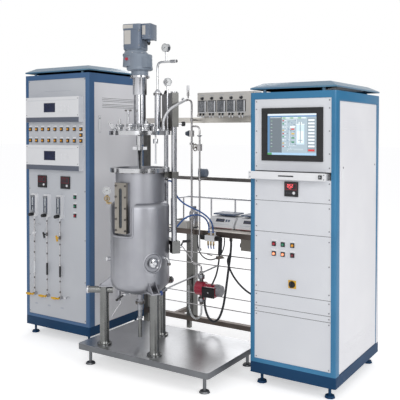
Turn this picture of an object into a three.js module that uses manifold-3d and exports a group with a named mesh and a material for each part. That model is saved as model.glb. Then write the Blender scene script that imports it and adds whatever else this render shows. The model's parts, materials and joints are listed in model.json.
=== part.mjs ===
// Pilot bioreactor system: a jacketed stirred vessel with a lift-up driven lid on a steel
// platform, a tube rack of pumps, balances and valves behind it, a gas cabinet on the left
// and a control cabinet on the right. Millimetres, +Z up, fronts facing -Y, and the origin
// at the middle of the footprint on the floor.
import * as THREE from 'three';
import { mergeVertices } from 'three/addons/utils/BufferGeometryUtils.js';
import ManifoldModule from 'manifold-3d';

// ---- Driving dimensions ----------------------------------------------------------------

const FIT_GAP = 0.3; // between pieces that touch
const RUN_GAP = 0.6; // round pieces that turn or slide in one another
const WELD = 2; // how far welded shapes sink into each other

const SYSTEM_WIDTH = 2450;
const SYSTEM_FRONT = -560;

const GAS_CABINET = {
  width: 640,
  depth: 640,
  front: -260,
  footHeight: 70,
  frameTop: 1945,
  frontPost: 33,
  sidePost: 57,
  frontRail: 36,
  sideRail: 64,
  plinthTop: 157,
  sidePlinthTop: 134,
  lidGap: 17,
  lidEdge: 9,
  lidRise: 40,
  lidInset: 60,
  footRadius: 30,
  footInset: 50,
};

const CONTROL_CABINET = {
  width: 545,
  depth: 785,
  front: -225,
  footHeight: 70,
  frameTop: 1760,
  frontPost: 30,
  sidePost: 54,
  frontRail: 40,
  sideRail: 57,
  plinthTop: 160,
  sidePlinthTop: 135,
  lidGap: 19,
  lidEdge: 9,
  lidRise: 39,
  lidInset: 60,
  footRadius: 32,
  footInset: 55,
};

const CORNER_RADIUS = 10; // on the cabinets' upright corners
const PANEL_SKIN = 2; // sheet thickness of panels and lids
const FRONT_RECESS = 3; // front plates behind the frame's face
const FRONT_PLATE = 4; // thickness of the front plates

const ANALYSER = { width: 530, height: 182, proud: 49, depth: 260, upperZ: 1595, lowerZ: 1247, stripe: 36 };
const GAS_LINES = { count: 3, firstX: 109, pitch: 131, valveZ: 315, pipeRadius: 5, standoff: 20,
  fittingRadius: 11, filterBottom: 464, filterTop: 562, valveBottom: 745, valveTop: 795, nutBottom: 841,
  nutTop: 859, nutRadius: 9 };
const ROTAMETER = { width: 45, depth: 30, bottom: 895, top: 1065, knobZ: 912, knobRadius: 13,
  knobLength: 40 };
const GAS_VALVE = { bodyRadius: 13, lever: 62, leverWidth: 12, leverThickness: 4 };

const MONITOR_PLATE_BOTTOM = 1295;
const DRAWER = { bottom: 1250, height: 45, frontWidth: 483, trayWidth: 430, trayDepth: 420, wall: 2,
  pulledOut: 85 };
const COMPUTER = { width: 388, height: 311, centreZ: 1510.5, proud: 9, bodyDepth: 90, screenWidth: 310,
  screenHeight: 243, recess: 3 };
const SWITCH = { z: 634, knobRadius: 16, knobLength: 22, gripWidth: 8 };
const PLATE_SEAMS = [445, 480, 567, 931, 1117];

const PLATFORM = { left: -419, right: 587, back: 87, top: 140, thickness: 38, cornerRadius: 18,
  footRadius: 34, footInset: 60 };

const VESSEL_X = -58;
const VESSEL_Y = -357;
const VESSEL = { bodyRadius: 157.5, wall: 4, jacketRadius: 190, jacketWall: 4, bottom: 476, straightFrom: 564,
  jacketTop: 1076, shoulder: 34, flangeTop: 1295, flangeThickness: 27, flangeRadius: 192 };
const JACKET_SPACE = VESSEL.jacketRadius - VESSEL.bodyRadius;
const LEG = { ring: 234, radius: 30, top: 520, baseRadius: 48, baseThickness: 10, angles: [90, 210, 330],
  armAngles: [90, 210], armZ: 497, armRadius: 22, armStart: 178, armEnd: 350 };
const SIGHT_GLASS = { angle: -94, bottom: 886, height: 319, width: 98, face: 184, thickness: 26,
  slotWidth: 26, slotHeight: 252 };
const JACKET_WINDOW = { angle: -93, halfAngle: 27, bottom: 869, corner: 34 };
const PORT_RECESS = { angle: -26, z: 702, radius: 62, depth: 26 };
const UPPER_PORT = { angle: 46, z: 1203, reach: 182 };
const JACKET_OUTLET = { angle: 55.7, z: 872, reach: 214 };
const JACKET_INLET = { angle: 210, z: 698, reach: 222 };
const SAMPLE_VALVE = { angle: -120, distance: 146, bottom: 440, radius: 13 };
const BOTTOM_NOZZLE = { drop: 50, radius: 18, bore: 12, collarRadius: 26, collarHeight: 8 };
const DRAIN = { clampRadius: 30, clampHeight: 20, bodyRadius: 19, bodyBottom: 62, outletRadius: 13,
  outletBottom: 114, lipRadius: 18, lipHeight: 10 };

const LIFT = { travel: 210, angle: 52.5, distance: 205, halfSpan: 87, columnRadius: 18, rodRadius: 14.5,
  bottom: 745, headroom: 8, armThickness: 25.4, carriageHeight: 220, carriageDepth: 44, carriageEnd: 28,
  armWidth: 56, armReach: 120 };
const CRANK = { boxWidth: 62, boxHeight: 80, boxDepth: 54, hubRadius: 12, arm: 68, gripRadius: 9,
  gripLength: 52 };
const LOCK_KNOB = { rise: 20, screwRadius: 6, radius: 13, start: 30, end: 50 };
const LID = { thickness: 26, radius: 198, neckRadius: 52, neckHeight: 29 };
const LID_NOZZLE = { radius: 14, height: 36, clampRadius: 22, clampBottom: 26, clampTop: 44,
  places: [[200, 132], [238, 138], [282, 140], [325, 138], [100, 140], [150, 130]] }; // angle, distance
const TEE_BAR = { angle: -100, distance: 100, height: 130, radius: 5, stemRadius: 7, halfLength: 24 };
const PROBE = { angle: 10, distance: 112, radius: 5, length: 185, ballRadius: 16, ballTop: 25,
  ballBottom: 55 };
const BAIL = { angle: -150, near: 150, far: 196, halfWidth: 38, height: 50, radius: 5, bend: 14 };
const DRIVE = { lowerRadius: 39, upperRadius: 45, wall: 6, stepHeight: 203.4, height: 313.4,
  flangeRadius: 65, flangeHeight: 13, footHeight: 12 };
const GEARBOX = { neckRadius: 55, neckHeight: 35, bodyHeight: 100, bodyRadius: 84, coneHeight: 34,
  coneRadius: 68 };
const MOTOR = { width: 126, height: 160, finDepth: 6, finCount: 7, cowlHeight: 36, turn: 12, offset: -33 };
const TERMINAL_BOX = { depth: 62, width: 96, height: 98 };
const SHAFT = { radius: 15, clearBottom: 60, couplingRadius: 24, couplingLength: 60, paddleReach: 47 };
const IMPELLER = { hubRadius: 24, discRadius: 50, bladeReach: 68, bladeHeight: 26, bladeThickness: 4,
  blades: 6, above: 60 };
const CONDENSER = { angle: 20, distance: 120, radius: 19.5, seat: 14, height: 237.4, pipeRadius: 7,
  pipeRise: 189, pipeReach: 150, pipeBend: 34, nutRadius: 11 };
const EXHAUST_PORT = { x: 178, y: 14, radius: 9, height: 30 };
const GAUGE = { radius: 27, depth: 26, stem: 62, facing: -52 };
const LID_GAUGE = { angle: 18, distance: 188, height: 312 };
const JACKET_GAUGE = { angle: 213, z: 1063, reach: 214, height: 82 };

const RACK = { front: 277, tube: 40, left: -514, right: 660, upperBottom: 1590, upperTop: 1629,
  midBottom: 1174, midTop: 1198, midTube: 24, bottomBottom: 135, bottomTop: 169, postLeft: -117,
  postWidth: 60, postBottom: 161, legTube: 30, legInset: 40, footBorder: 12, footHeight: 8 };
const DRUM = { left: -10, right: 45, radius: 30 };
const SHELF = { left: -290, right: 616, front: 215, back: 550, bottom: 785, top: 823 };
const JUNCTION_BOX = { left: 373, right: 480, depth: 75, drop: 77 };
const RAIL = { bottom: 1020, radius: 7, postRadius: 6 };
const PUMP_BANK = { left: 11, right: 470, front: 227, depth: 110, bottom: 1632, top: 1804, heads: 5,
  firstX: 54, pitch: 79, windowWidth: 62, windowBottom: 1664, windowTop: 1744, recess: 30 };
const BALANCE = { width: 212, depth: 150, front: 377, top: 905, panTop: 928, firstX: 33, pitch: 228 };
const VALVE_BLOCK = { left: 106, right: 183, bottom: 757, top: 797, depth: 42, coilLength: 42,
  coilRadius: 17, portRadius: 7, portInset: 16, portDrop: 22 };
const PUMP = { x: 68.5, y: 190, z: 413, voluteRadius: 50, voluteWidth: 63, motorRadius: 42, motorEnd: 236,
  unionTop: 532, unionBottom: 300, unionRadius: 14, unionOverlap: 12 };
const PROCESS_PIPE = { y: 190, ax: -14, bx: 53, radius: 7, bendZ: 1751, branchZ: 1565, elbowZ: 580,
  bBottom: 680, endY: 112, bend: 34, reliefTop: 1854, valveZ: 1513, valveHalf: 12, handwheelZ: 1414,
  wheelHalf: 13, clampBottom: 1432, clampTop: 1448, lowBracketZ: 1186, highBracketZ: 1610 };
const POST_STUB = { x: -81, y: 250, bottom: 405, top: 470, radius: 9 };
const HOSE_RADIUS = { blue: 5.5, black: 8, pump: 7, exhaust: 9 };

const ROUND = 20; // sides of large rounds
const MEDIUM = 12;
const SMALL = 6; // thin tubes and fittings
const CORD = 8;

// ---- Shape helpers ---------------------------------------------------------------------

const wasm = await ManifoldModule();
wasm.setup();

const rad = THREE.MathUtils.degToRad;

// A closed manifold solid from a three.js geometry: vertices welded, collapsed faces dropped.
function solid(shape) {
  if (!shape.isBufferGeometry) return shape;
  const bare = shape.clone();
  bare.deleteAttribute('normal');
  bare.deleteAttribute('uv');
  const welded = mergeVertices(bare, 1e-3);
  const corners = welded.index.array;
  const kept = [];
  for (let i = 0; i < corners.length; i += 3) {
    const [a, b, c] = [corners[i], corners[i + 1], corners[i + 2]];
    if (a !== b && b !== c && c !== a) kept.push(a, b, c);
  }
  const vertProperties = new Float32Array(welded.attributes.position.array);
  return new wasm.Manifold(new wasm.Mesh({ numProp: 3, vertProperties, triVerts: new Uint32Array(kept) }));
}

function join(...shapes) {
  return shapes.map(solid).reduce((sum, next) => sum.add(next));
}

function cut(base, ...tools) {
  return tools.map(solid).reduce((rest, tool) => rest.subtract(tool), solid(base));
}

function common(a, b) {
  return solid(a).intersect(solid(b));
}

function block(x0, x1, y0, y1, z0, z1) {
  const box = new THREE.BoxGeometry(x1 - x0, y1 - y0, z1 - z0);
  return box.translate((x0 + x1) / 2, (y0 + y1) / 2, (z0 + z1) / 2);
}

// A block whose top is drawn in by an inset on all four sides.
function taperedBlock(x0, x1, y0, y1, z0, z1, inset) {
  const box = block(x0, x1, y0, y1, z0, z1);
  const points = box.attributes.position;
  const middleX = (x0 + x1) / 2;
  const middleY = (y0 + y1) / 2;
  for (let i = 0; i < points.count; i++) {
    if (points.getZ(i) < (z0 + z1) / 2) continue;
    points.setX(i, points.getX(i) - Math.sign(points.getX(i) - middleX) * inset);
    points.setY(i, points.getY(i) - Math.sign(points.getY(i) - middleY) * inset);
  }
  return box;
}

// A block with rounded upright edges.
function roundedBlock(x0, x1, y0, y1, z0, z1, radius) {
  const outline = new THREE.Shape();
  outline.moveTo(x0 + radius, y0);
  outline.absarc(x1 - radius, y0 + radius, radius, -Math.PI / 2, 0);
  outline.absarc(x1 - radius, y1 - radius, radius, 0, Math.PI / 2);
  outline.absarc(x0 + radius, y1 - radius, radius, Math.PI / 2, Math.PI);
  outline.absarc(x0 + radius, y0 + radius, radius, Math.PI, Math.PI * 1.5);
  return extrude(outline, z0, z1 - z0);
}

function extrude(outline, z, height) {
  const settings = { depth: height, bevelEnabled: false, curveSegments: 1 };
  return new THREE.ExtrudeGeometry(outline, settings).translate(0, 0, z);
}

// A round bar or cone between two points.
function bar(from, to, radius, sides = MEDIUM, endRadius = radius) {
  const start = new THREE.Vector3(...from);
  const end = new THREE.Vector3(...to);
  const along = end.clone().sub(start);
  const round = new THREE.CylinderGeometry(endRadius, radius, along.length(), sides);
  const turn = new THREE.Quaternion().setFromUnitVectors(new THREE.Vector3(0, 1, 0), along.normalize());
  round.applyQuaternion(turn);
  const middle = start.add(end).multiplyScalar(0.5);
  return round.translate(middle.x, middle.y, middle.z);
}

function upright(x, y, z0, z1, radius, sides = MEDIUM, endRadius = radius) {
  return bar([x, y, z0], [x, y, z1], radius, sides, endRadius);
}

// A profile of [radius, height] pairs turned about Z: outside going up, any inside coming down.
function revolve(profile, sides = ROUND) {
  const points = profile.map(([radius, height]) => new THREE.Vector2(radius, height));
  return new THREE.LatheGeometry(points, sides).rotateX(Math.PI / 2);
}

// Straight runs joined by round bends, with rings only where the route turns.
class PipeRoute extends THREE.Curve {
  constructor(corners, bendRadius, bendSteps = 3) {
    super();
    const points = corners.map((corner) => new THREE.Vector3(...corner));
    this.knots = [points[0]];
    for (let i = 1; i < points.length - 1; i++) {
      const back = points[i - 1].clone().sub(points[i]).setLength(bendRadius).add(points[i]);
      const ahead = points[i + 1].clone().sub(points[i]).setLength(bendRadius).add(points[i]);
      const bend = new THREE.QuadraticBezierCurve3(back, points[i], ahead);
      this.knots.push(...bend.getPoints(bendSteps));
    }
    this.knots.push(points[points.length - 1]);
  }

  getPoint(t, target = new THREE.Vector3()) {
    const place = Math.min(t * (this.knots.length - 1), this.knots.length - 1 - 1e-9);
    const index = Math.floor(place);
    return target.lerpVectors(this.knots[index], this.knots[index + 1], place - index);
  }

  getUtoTmapping(u) {
    return u;
  }
}

function ring(radius, sides) {
  const points = [];
  for (let i = 0; i < sides; i++) {
    const angle = (i / sides) * Math.PI * 2;
    points.push(new THREE.Vector2(Math.cos(angle) * radius, Math.sin(angle) * radius));
  }
  return new THREE.Shape(points);
}

function pipe(corners, radius, bendRadius, sides = SMALL) {
  const route = new PipeRoute(corners, bendRadius);
  const settings = { extrudePath: route, steps: route.knots.length - 1, bevelEnabled: false };
  return new THREE.ExtrudeGeometry(ring(radius, sides), settings);
}

// A hose or cable along a hand-chosen smooth route, a ring every three diameters.
function hose(points, radius) {
  const route = new THREE.CatmullRomCurve3(points.map((point) => new THREE.Vector3(...point)));
  const steps = Math.round(route.getLength() / (radius * 6));
  return new THREE.ExtrudeGeometry(ring(radius, CORD), { extrudePath: route, steps, bevelEnabled: false });
}

// The radius of a many-sided cutter whose flats clear a round of the given radius.
function clearing(radius, gap = FIT_GAP, sides = ROUND) {
  return (radius + gap) / Math.cos(Math.PI / sides);
}

// The same for a round that turns or slides in its bore.
function runningBore(radius, sides = MEDIUM) {
  return clearing(radius, RUN_GAP, sides);
}

function polar(angle, distance) {
  return [Math.cos(rad(angle)) * distance, Math.sin(rad(angle)) * distance];
}

// Turned about Z, whether it is a geometry or a manifold solid.
function turned(shape, degrees) {
  return shape.isBufferGeometry ? shape.rotateZ(rad(degrees)) : shape.rotate([0, 0, degrees]);
}

const FINISH = {
  cabinetBlue: [0x3b6fa0, 0.45, 0.1],
  panelGrey: [0xdcdee0, 0.5, 0.05],
  frontGrey: [0xd3d4d6, 0.5, 0.05],
  analyserWhite: [0xe6e9ee, 0.45, 0],
  black: [0x1d1f22, 0.5, 0],
  yellow: [0xe2a81e, 0.45, 0],
  bezel: [0x2b332f, 0.4, 0],
  steel: [0xc4c5c9, 0.28, 1],
  blasted: [0x9c9da6, 0.5, 1],
  motorGrey: [0x6b7a88, 0.5, 0.1],
  fieldRed: [0xb03040, 0.5, 0],
  white: [0xe9eaec, 0.4, 0],
  blueHose: [0x2f5c9c, 0.35, 0],
  blackHose: [0x1b1c1e, 0.5, 0],
  clearHose: [0xcfc9c2, 0.35, 0],
  handGrip: [0x2a2623, 0.5, 0],
  braid: [0xc9c6c0, 0.35, 1],
};

function addPiece(group, name, shape, [color, roughness, metalness]) {
  const data = solid(shape).getMesh();
  const geometry = new THREE.BufferGeometry();
  geometry.setAttribute('position', new THREE.BufferAttribute(data.vertProperties, 3));
  geometry.setIndex(new THREE.BufferAttribute(data.triVerts, 1));
  geometry.computeVertexNormals();
  const mesh = new THREE.Mesh(geometry, new THREE.MeshStandardMaterial({ color, roughness, metalness }));
  mesh.name = name;
  group.add(mesh);
  return mesh;
}

// ---- Cabinets: x and y from the front left corner of the frame --------------------------

function levellingFoot(x, y, size) {
  const disc = upright(x, y, 0, 14, size.footRadius, 8, size.footRadius * 0.85);
  const stem = upright(x, y, 10, size.footHeight + WELD, 9, SMALL);
  return join(disc, stem);
}

// Four corner posts, a plinth and a top rail in one welded frame, with its levelling feet.
function cabinetFrame(size) {
  const { width, depth, frontPost, sidePost, footHeight, frameTop } = size;
  const shell = roundedBlock(0, width, 0, depth, footHeight, frameTop, CORNER_RADIUS);
  const frontWindow = block(frontPost, width - frontPost, -1, depth + 1, size.plinthTop,
    frameTop - size.frontRail);
  const sideWindow = block(-1, width + 1, sidePost, depth - sidePost, size.sidePlinthTop,
    frameTop - size.sideRail);
  const topVent = block(sidePost, width - sidePost, sidePost, depth - sidePost, frameTop - 99, frameTop + 1);
  const belowFloor = block(frontPost, width - frontPost, sidePost, depth - sidePost, footHeight - 1,
    size.sidePlinthTop - PANEL_SKIN);
  const feet = [];
  for (const x of [size.footInset, width - size.footInset]) {
    for (const y of [size.footInset, depth - size.footInset]) feet.push(levellingFoot(x, y, size));
  }
  return join(cut(shell, frontWindow, sideWindow, topVent, belowFloor), ...feet, ...footPads(size));
}

// Corner plates inside the plinth that the feet screw into.
function footPads(size) {
  const pads = [];
  const reach = size.footInset + 20;
  for (const [x0, x1] of [[WELD, reach], [size.width - reach, size.width - WELD]]) {
    for (const [y0, y1] of [[WELD, reach], [size.depth - reach, size.depth - WELD]]) {
      pads.push(block(x0, x1, y0, y1, size.footHeight, size.footHeight + 6));
    }
  }
  return pads;
}

// A folded lid: a thin edge, sides drawn in to a flat top, open below, on four spacers.
function cabinetLid(size) {
  const { width, depth, lidInset } = size;
  const bottom = size.frameTop + size.lidGap;
  const edgeTop = bottom + size.lidEdge;
  const top = bottom + size.lidRise;
  const outside = join(
    block(0, width, 0, depth, bottom, edgeTop),
    taperedBlock(0, width, 0, depth, edgeTop, top, lidInset),
  );
  const skin = PANEL_SKIN;
  const inside = join(
    block(skin, width - skin, skin, depth - skin, bottom - 1, edgeTop),
    taperedBlock(skin, width - skin, skin, depth - skin, edgeTop, top - skin, lidInset),
  );
  const spacerSpace = join(outside, block(0, width, 0, depth, size.frameTop, bottom + 1));
  const spacers = [];
  for (const x of [lidInset + 25, width - lidInset - 25]) {
    for (const y of [size.sidePost / 2, depth - size.sidePost / 2]) {
      const column = upright(x, y, size.frameTop + FIT_GAP, top, 11, SMALL);
      spacers.push(common(column, spacerSpace));
    }
  }
  return join(cut(outside, inside), ...spacers);
}

// Side and back panels: one sheet wrapper that fills the frame's side and back windows.
function cabinetPanels(size) {
  const gap = FIT_GAP;
  const start = FRONT_RECESS + FRONT_PLATE + gap;
  const lining = (skin) => block(size.frontPost + gap + skin, size.width - size.frontPost - gap - skin,
    start - (skin ? 1 : 0), size.depth - 1 - skin, size.plinthTop + gap + skin,
    size.frameTop - size.frontRail - gap - skin);
  const pads = (skin) => block(1 + skin, size.width - 1 - skin, size.sidePost + gap + skin,
    size.depth - size.sidePost - gap - skin, size.sidePlinthTop + gap + skin,
    size.frameTop - size.sideRail - gap - skin);
  return cut(join(lining(0), pads(0)), lining(PANEL_SKIN), pads(PANEL_SKIN));
}

// A flat plate in the frame's front window, between two heights.
function frontPlate(size, bottom, top) {
  const side = size.frontPost + FIT_GAP;
  return block(side, size.width - side, FRONT_RECESS, FRONT_RECESS + FRONT_PLATE, bottom, top);
}

// ---- Gas cabinet -------------------------------------------------------------------------

function gasFrontPanel(size) {
  let panel = frontPlate(size, size.plinthTop + FIT_GAP, size.frameTop - size.frontRail - FIT_GAP);
  for (const bottom of [ANALYSER.upperZ, ANALYSER.lowerZ]) panel = cut(panel, analyserCutOut(size, bottom));
  for (let line = 0; line < GAS_LINES.count; line++) panel = join(panel, gasLine(line));
  return panel;
}

function analyserSides(size) {
  return [(size.width - ANALYSER.width) / 2, (size.width + ANALYSER.width) / 2];
}

function analyserCutOut(size, bottom) {
  const [left, right] = analyserSides(size);
  const edge = 12;
  return block(left + edge, right - edge, -1, FRONT_RECESS + FRONT_PLATE + 1, bottom + edge,
    bottom + ANALYSER.height - edge);
}

// An analyser: a proud case front with a sunk display, and its chassis through the panel.
function analyser(size, bottom) {
  const [left, right] = analyserSides(size);
  const face = FRONT_RECESS - ANALYSER.proud;
  const top = bottom + ANALYSER.height;
  const chassisEdge = 12 + 1;
  const caseFront = block(left, right, face, FRONT_RECESS - FIT_GAP, bottom, top);
  const chassis = block(left + chassisEdge, right - chassisEdge, FRONT_RECESS - WELD, ANALYSER.depth,
    bottom + chassisEdge, top - chassisEdge);
  const displayX = left + ANALYSER.width * 0.36;
  const display = block(displayX, displayX + 114, face - 1, face + 2, bottom + 72, bottom + 139);
  const stripeStep = block(left - 1, right + 1, face - 1, face + 1.5, bottom - 1, bottom + ANALYSER.stripe);
  return cut(join(caseFront, chassis), display, stripeStep);
}

// One gas line: an acrylic flow meter and the tube, filter and fittings that run down from it.
function gasLine(line) {
  const x = GAS_LINES.firstX + GAS_LINES.pitch * line;
  const y = FRONT_RECESS - GAS_LINES.standoff;
  const meterBack = FRONT_RECESS + WELD;
  const meter = block(x - ROTAMETER.width / 2, x + ROTAMETER.width / 2, FRONT_RECESS - ROTAMETER.depth,
    meterBack, ROTAMETER.bottom, ROTAMETER.top);
  const tube = upright(x, y, GAS_LINES.valveZ, ROTAMETER.bottom + WELD, GAS_LINES.pipeRadius, SMALL);
  const { filterBottom, filterTop, valveBottom, valveTop, nutBottom, nutTop, fittingRadius } = GAS_LINES;
  const filter = upright(x, y, filterBottom, filterTop, fittingRadius, SMALL);
  const valveBody = upright(x, y, valveBottom, valveTop, fittingRadius, SMALL);
  const nut = upright(x, y, nutBottom, nutTop, GAS_LINES.nutRadius, SMALL);
  const foot = bar([x, meterBack, GAS_LINES.valveZ], [x, y - GAS_VALVE.bodyRadius, GAS_LINES.valveZ],
    GAS_VALVE.bodyRadius, SMALL);
  return join(meter, tube, filter, valveBody, nut, foot);
}

function rotameterKnob(line) {
  const x = GAS_LINES.firstX + GAS_LINES.pitch * line;
  const back = FRONT_RECESS - ROTAMETER.depth - FIT_GAP;
  const front = back - ROTAMETER.knobLength;
  const skirt = bar([x, back, ROTAMETER.knobZ], [x, back - 8, ROTAMETER.knobZ], 7, SMALL);
  const grip = bar([x, back - 6, ROTAMETER.knobZ], [x, front, ROTAMETER.knobZ], ROTAMETER.knobRadius, MEDIUM);
  return join(skirt, grip);
}

// A quarter-turn lever on the front of its valve body, lying to the left when open.
function gasValveHandle(line) {
  const x = GAS_LINES.firstX + GAS_LINES.pitch * line;
  const z = GAS_LINES.valveZ;
  const back = FRONT_RECESS - GAS_LINES.standoff - GAS_VALVE.bodyRadius - FIT_GAP;
  const hub = bar([x, back, z], [x, back - 12, z], 8, SMALL);
  const half = GAS_VALVE.leverWidth / 2;
  const tip = x - GAS_VALVE.lever;
  const lever = block(tip, x + 6, back - 12, back - 12 + GAS_VALVE.leverThickness, z - half, z + half);
  const lip = block(tip, tip + 4, back - 18, back - 12 + WELD, z - half, z + half);
  return join(hub, lever, lip);
}

function gasCabinet() {
  const size = GAS_CABINET;
  const group = new THREE.Group();
  group.position.set(-SYSTEM_WIDTH / 2, size.front, 0);
  addPiece(group, 'gas_cabinet_frame', cabinetFrame(size), FINISH.cabinetBlue);
  addPiece(group, 'gas_cabinet_lid', cabinetLid(size), FINISH.cabinetBlue);
  addPiece(group, 'gas_cabinet_panels', cabinetPanels(size), FINISH.panelGrey);
  addPiece(group, 'gas_front_panel', gasFrontPanel(size), FINISH.frontGrey);
  addPiece(group, 'gas_analyser_upper', analyser(size, ANALYSER.upperZ), FINISH.analyserWhite);
  addPiece(group, 'gas_analyser_lower', analyser(size, ANALYSER.lowerZ), FINISH.analyserWhite);
  for (let line = 0; line < GAS_LINES.count; line++) {
    addPiece(group, `rotameter_knob_${line + 1}`, rotameterKnob(line), FINISH.black);
    addPiece(group, `gas_valve_handle_${line + 1}`, gasValveHandle(line), FINISH.yellow);
  }
  return group;
}

// ---- Control cabinet ---------------------------------------------------------------------

function computerCutOut(size, clearance) {
  const half = COMPUTER.width / 2 - 20 + clearance;
  const rise = COMPUTER.height / 2 - 20 + clearance;
  const middle = size.width / 2;
  return [middle - half, middle + half, COMPUTER.centreZ - rise, COMPUTER.centreZ + rise];
}

function monitorPlate(size) {
  const [x0, x1, z0, z1] = computerCutOut(size, 1);
  const plate = frontPlate(size, MONITOR_PLATE_BOTTOM + FIT_GAP, size.frameTop - size.frontRail - FIT_GAP);
  return cut(plate, block(x0, x1, -1, FRONT_RECESS + FRONT_PLATE + 1, z0, z1));
}

function panelComputer(size) {
  const middle = size.width / 2;
  const face = FRONT_RECESS - COMPUTER.proud;
  const [x0, x1, z0, z1] = computerCutOut(size, 0);
  const bezel = block(middle - COMPUTER.width / 2, middle + COMPUTER.width / 2, face, FRONT_RECESS - FIT_GAP,
    COMPUTER.centreZ - COMPUTER.height / 2, COMPUTER.centreZ + COMPUTER.height / 2);
  const housing = block(x0, x1, FRONT_RECESS - WELD, COMPUTER.bodyDepth, z0, z1);
  const screen = block(middle - COMPUTER.screenWidth / 2, middle + COMPUTER.screenWidth / 2, face - 1,
    face + COMPUTER.recess, COMPUTER.centreZ - COMPUTER.screenHeight / 2,
    COMPUTER.centreZ + COMPUTER.screenHeight / 2);
  return cut(join(bezel, housing), screen);
}

// The lower front plates, their seams cut as fine grooves, with the drawer's two side runners.
function lowerFrontPlate(size) {
  let plate = frontPlate(size, size.plinthTop + FIT_GAP, DRAWER.bottom);
  for (const seam of PLATE_SEAMS) {
    plate = cut(plate, block(0, size.width, FRONT_RECESS - 1, FRONT_RECESS + 1, seam - 0.8, seam + 0.8));
  }
  const middle = size.width / 2;
  const back = FRONT_RECESS + FRONT_PLATE;
  for (const side of [-1, 1]) {
    const inner = middle + side * (DRAWER.trayWidth / 2 - 12);
    const outer = middle + side * (DRAWER.trayWidth / 2 + 8);
    plate = join(plate, block(Math.min(inner, outer), Math.max(inner, outer), back - WELD, 340,
      DRAWER.bottom - 20, DRAWER.bottom - 14));
    const wall = middle + side * (DRAWER.trayWidth / 2 + 6);
    plate = join(plate, block(wall - 2, wall + 2, back - WELD, 340, DRAWER.bottom - 20, DRAWER.bottom));
  }
  return plate;
}

// A shallow keyboard drawer: an open tray behind a plain front with a pull lip, standing part open.
function keyboardDrawer(size) {
  const middle = size.width / 2;
  const bottom = DRAWER.bottom + FIT_GAP;
  const top = DRAWER.bottom + DRAWER.height - FIT_GAP;
  const face = FRONT_RECESS - DRAWER.pulledOut;
  const front = block(middle - DRAWER.frontWidth / 2, middle + DRAWER.frontWidth / 2 - 1, face, face + 3,
    bottom, top);
  const tray = block(middle - DRAWER.trayWidth / 2, middle + DRAWER.trayWidth / 2, face + WELD,
    face + DRAWER.trayDepth, bottom, top - 6);
  const wall = DRAWER.wall;
  const hollow = block(middle - DRAWER.trayWidth / 2 + wall, middle + DRAWER.trayWidth / 2 - wall, face + 3,
    face + DRAWER.trayDepth - wall, bottom + wall, top + 1);
  return join(cut(tray, hollow), front);
}

function mainSwitchKnob(size) {
  const x = size.width / 2 + 4;
  const z = SWITCH.z;
  const back = FRONT_RECESS - FIT_GAP;
  const plate = bar([x, back, z], [x, back - 5, z], SWITCH.knobRadius + 4, MEDIUM);
  const knob = bar([x, back - 4, z], [x, back - 14, z], SWITCH.knobRadius, MEDIUM);
  const grip = block(x - SWITCH.gripWidth / 2, x + SWITCH.gripWidth / 2, back - SWITCH.knobLength, back - 12,
    z - SWITCH.knobRadius, z + SWITCH.knobRadius + 3);
  return join(plate, knob, grip);
}

function controlCabinet() {
  const size = CONTROL_CABINET;
  const group = new THREE.Group();
  group.position.set(SYSTEM_WIDTH / 2 - size.width, size.front, 0);
  addPiece(group, 'control_cabinet_frame', cabinetFrame(size), FINISH.cabinetBlue);
  addPiece(group, 'control_cabinet_lid', cabinetLid(size), FINISH.cabinetBlue);
  addPiece(group, 'control_cabinet_panels', cabinetPanels(size), FINISH.panelGrey);
  addPiece(group, 'monitor_plate', monitorPlate(size), FINISH.panelGrey);
  addPiece(group, 'lower_front_plate', lowerFrontPlate(size), FINISH.panelGrey);
  addPiece(group, 'panel_computer', panelComputer(size), FINISH.bezel);
  addPiece(group, 'keyboard_drawer', keyboardDrawer(size), FINISH.panelGrey);
  addPiece(group, 'main_switch_knob', mainSwitchKnob(size), FINISH.black);
  return group;
}

// ---- Platform, vessel and legs: x and y from the vessel's axis ---------------------------

// The folded steel platform, open below, on adjustable disc feet.
function platform() {
  const x0 = PLATFORM.left - VESSEL_X;
  const x1 = PLATFORM.right - VESSEL_X;
  const y0 = SYSTEM_FRONT - VESSEL_Y;
  const y1 = PLATFORM.back - VESSEL_Y;
  const bottom = PLATFORM.top - PLATFORM.thickness;
  const skin = 3;
  const tray = cut(
    roundedBlock(x0, x1, y0, y1, bottom, PLATFORM.top, PLATFORM.cornerRadius),
    roundedBlock(x0 + skin, x1 - skin, y0 + skin, y1 - skin, bottom - 1, PLATFORM.top - skin,
      PLATFORM.cornerRadius - skin),
  );
  const feet = [];
  for (const x of [x0 + PLATFORM.footInset, x1 - PLATFORM.footInset]) {
    for (const y of [y0 + PLATFORM.footInset, y1 - PLATFORM.footInset]) {
      const disc = upright(x, y, 0, 12, PLATFORM.footRadius, MEDIUM, PLATFORM.footRadius * 0.8);
      const stem = upright(x, y, 8, PLATFORM.top - skin + 1, 11, SMALL);
      feet.push(join(disc, stem));
    }
  }
  return join(tray, ...feet);
}

// A leg: a base flange, an upright tube and, on two of the three, a capped cross tube at its head.
function leg(angle) {
  const [x, y] = polar(angle, LEG.ring);
  const floor = PLATFORM.top + FIT_GAP;
  const top = LEG.top - FIT_GAP;
  const base = upright(x, y, floor, floor + LEG.baseThickness, LEG.baseRadius, MEDIUM);
  const collar = upright(x, y, floor, floor + LEG.baseThickness + 16, LEG.radius + 7, MEDIUM, LEG.radius);
  const tube = upright(x, y, floor, top, LEG.radius, MEDIUM);
  if (!LEG.armAngles.includes(angle)) return join(base, collar, tube);
  const [innerX, innerY] = polar(angle, LEG.armStart);
  const [outerX, outerY] = polar(angle, LEG.armEnd);
  const [capX, capY] = polar(angle, LEG.armEnd - 14);
  const arm = bar([innerX, innerY, LEG.armZ], [outerX, outerY, LEG.armZ], LEG.armRadius, 8);
  const cap = bar([capX, capY, LEG.armZ], [outerX, outerY, LEG.armZ], LEG.armRadius + 4, 8);
  return join(base, collar, tube, arm, cap);
}

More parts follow.
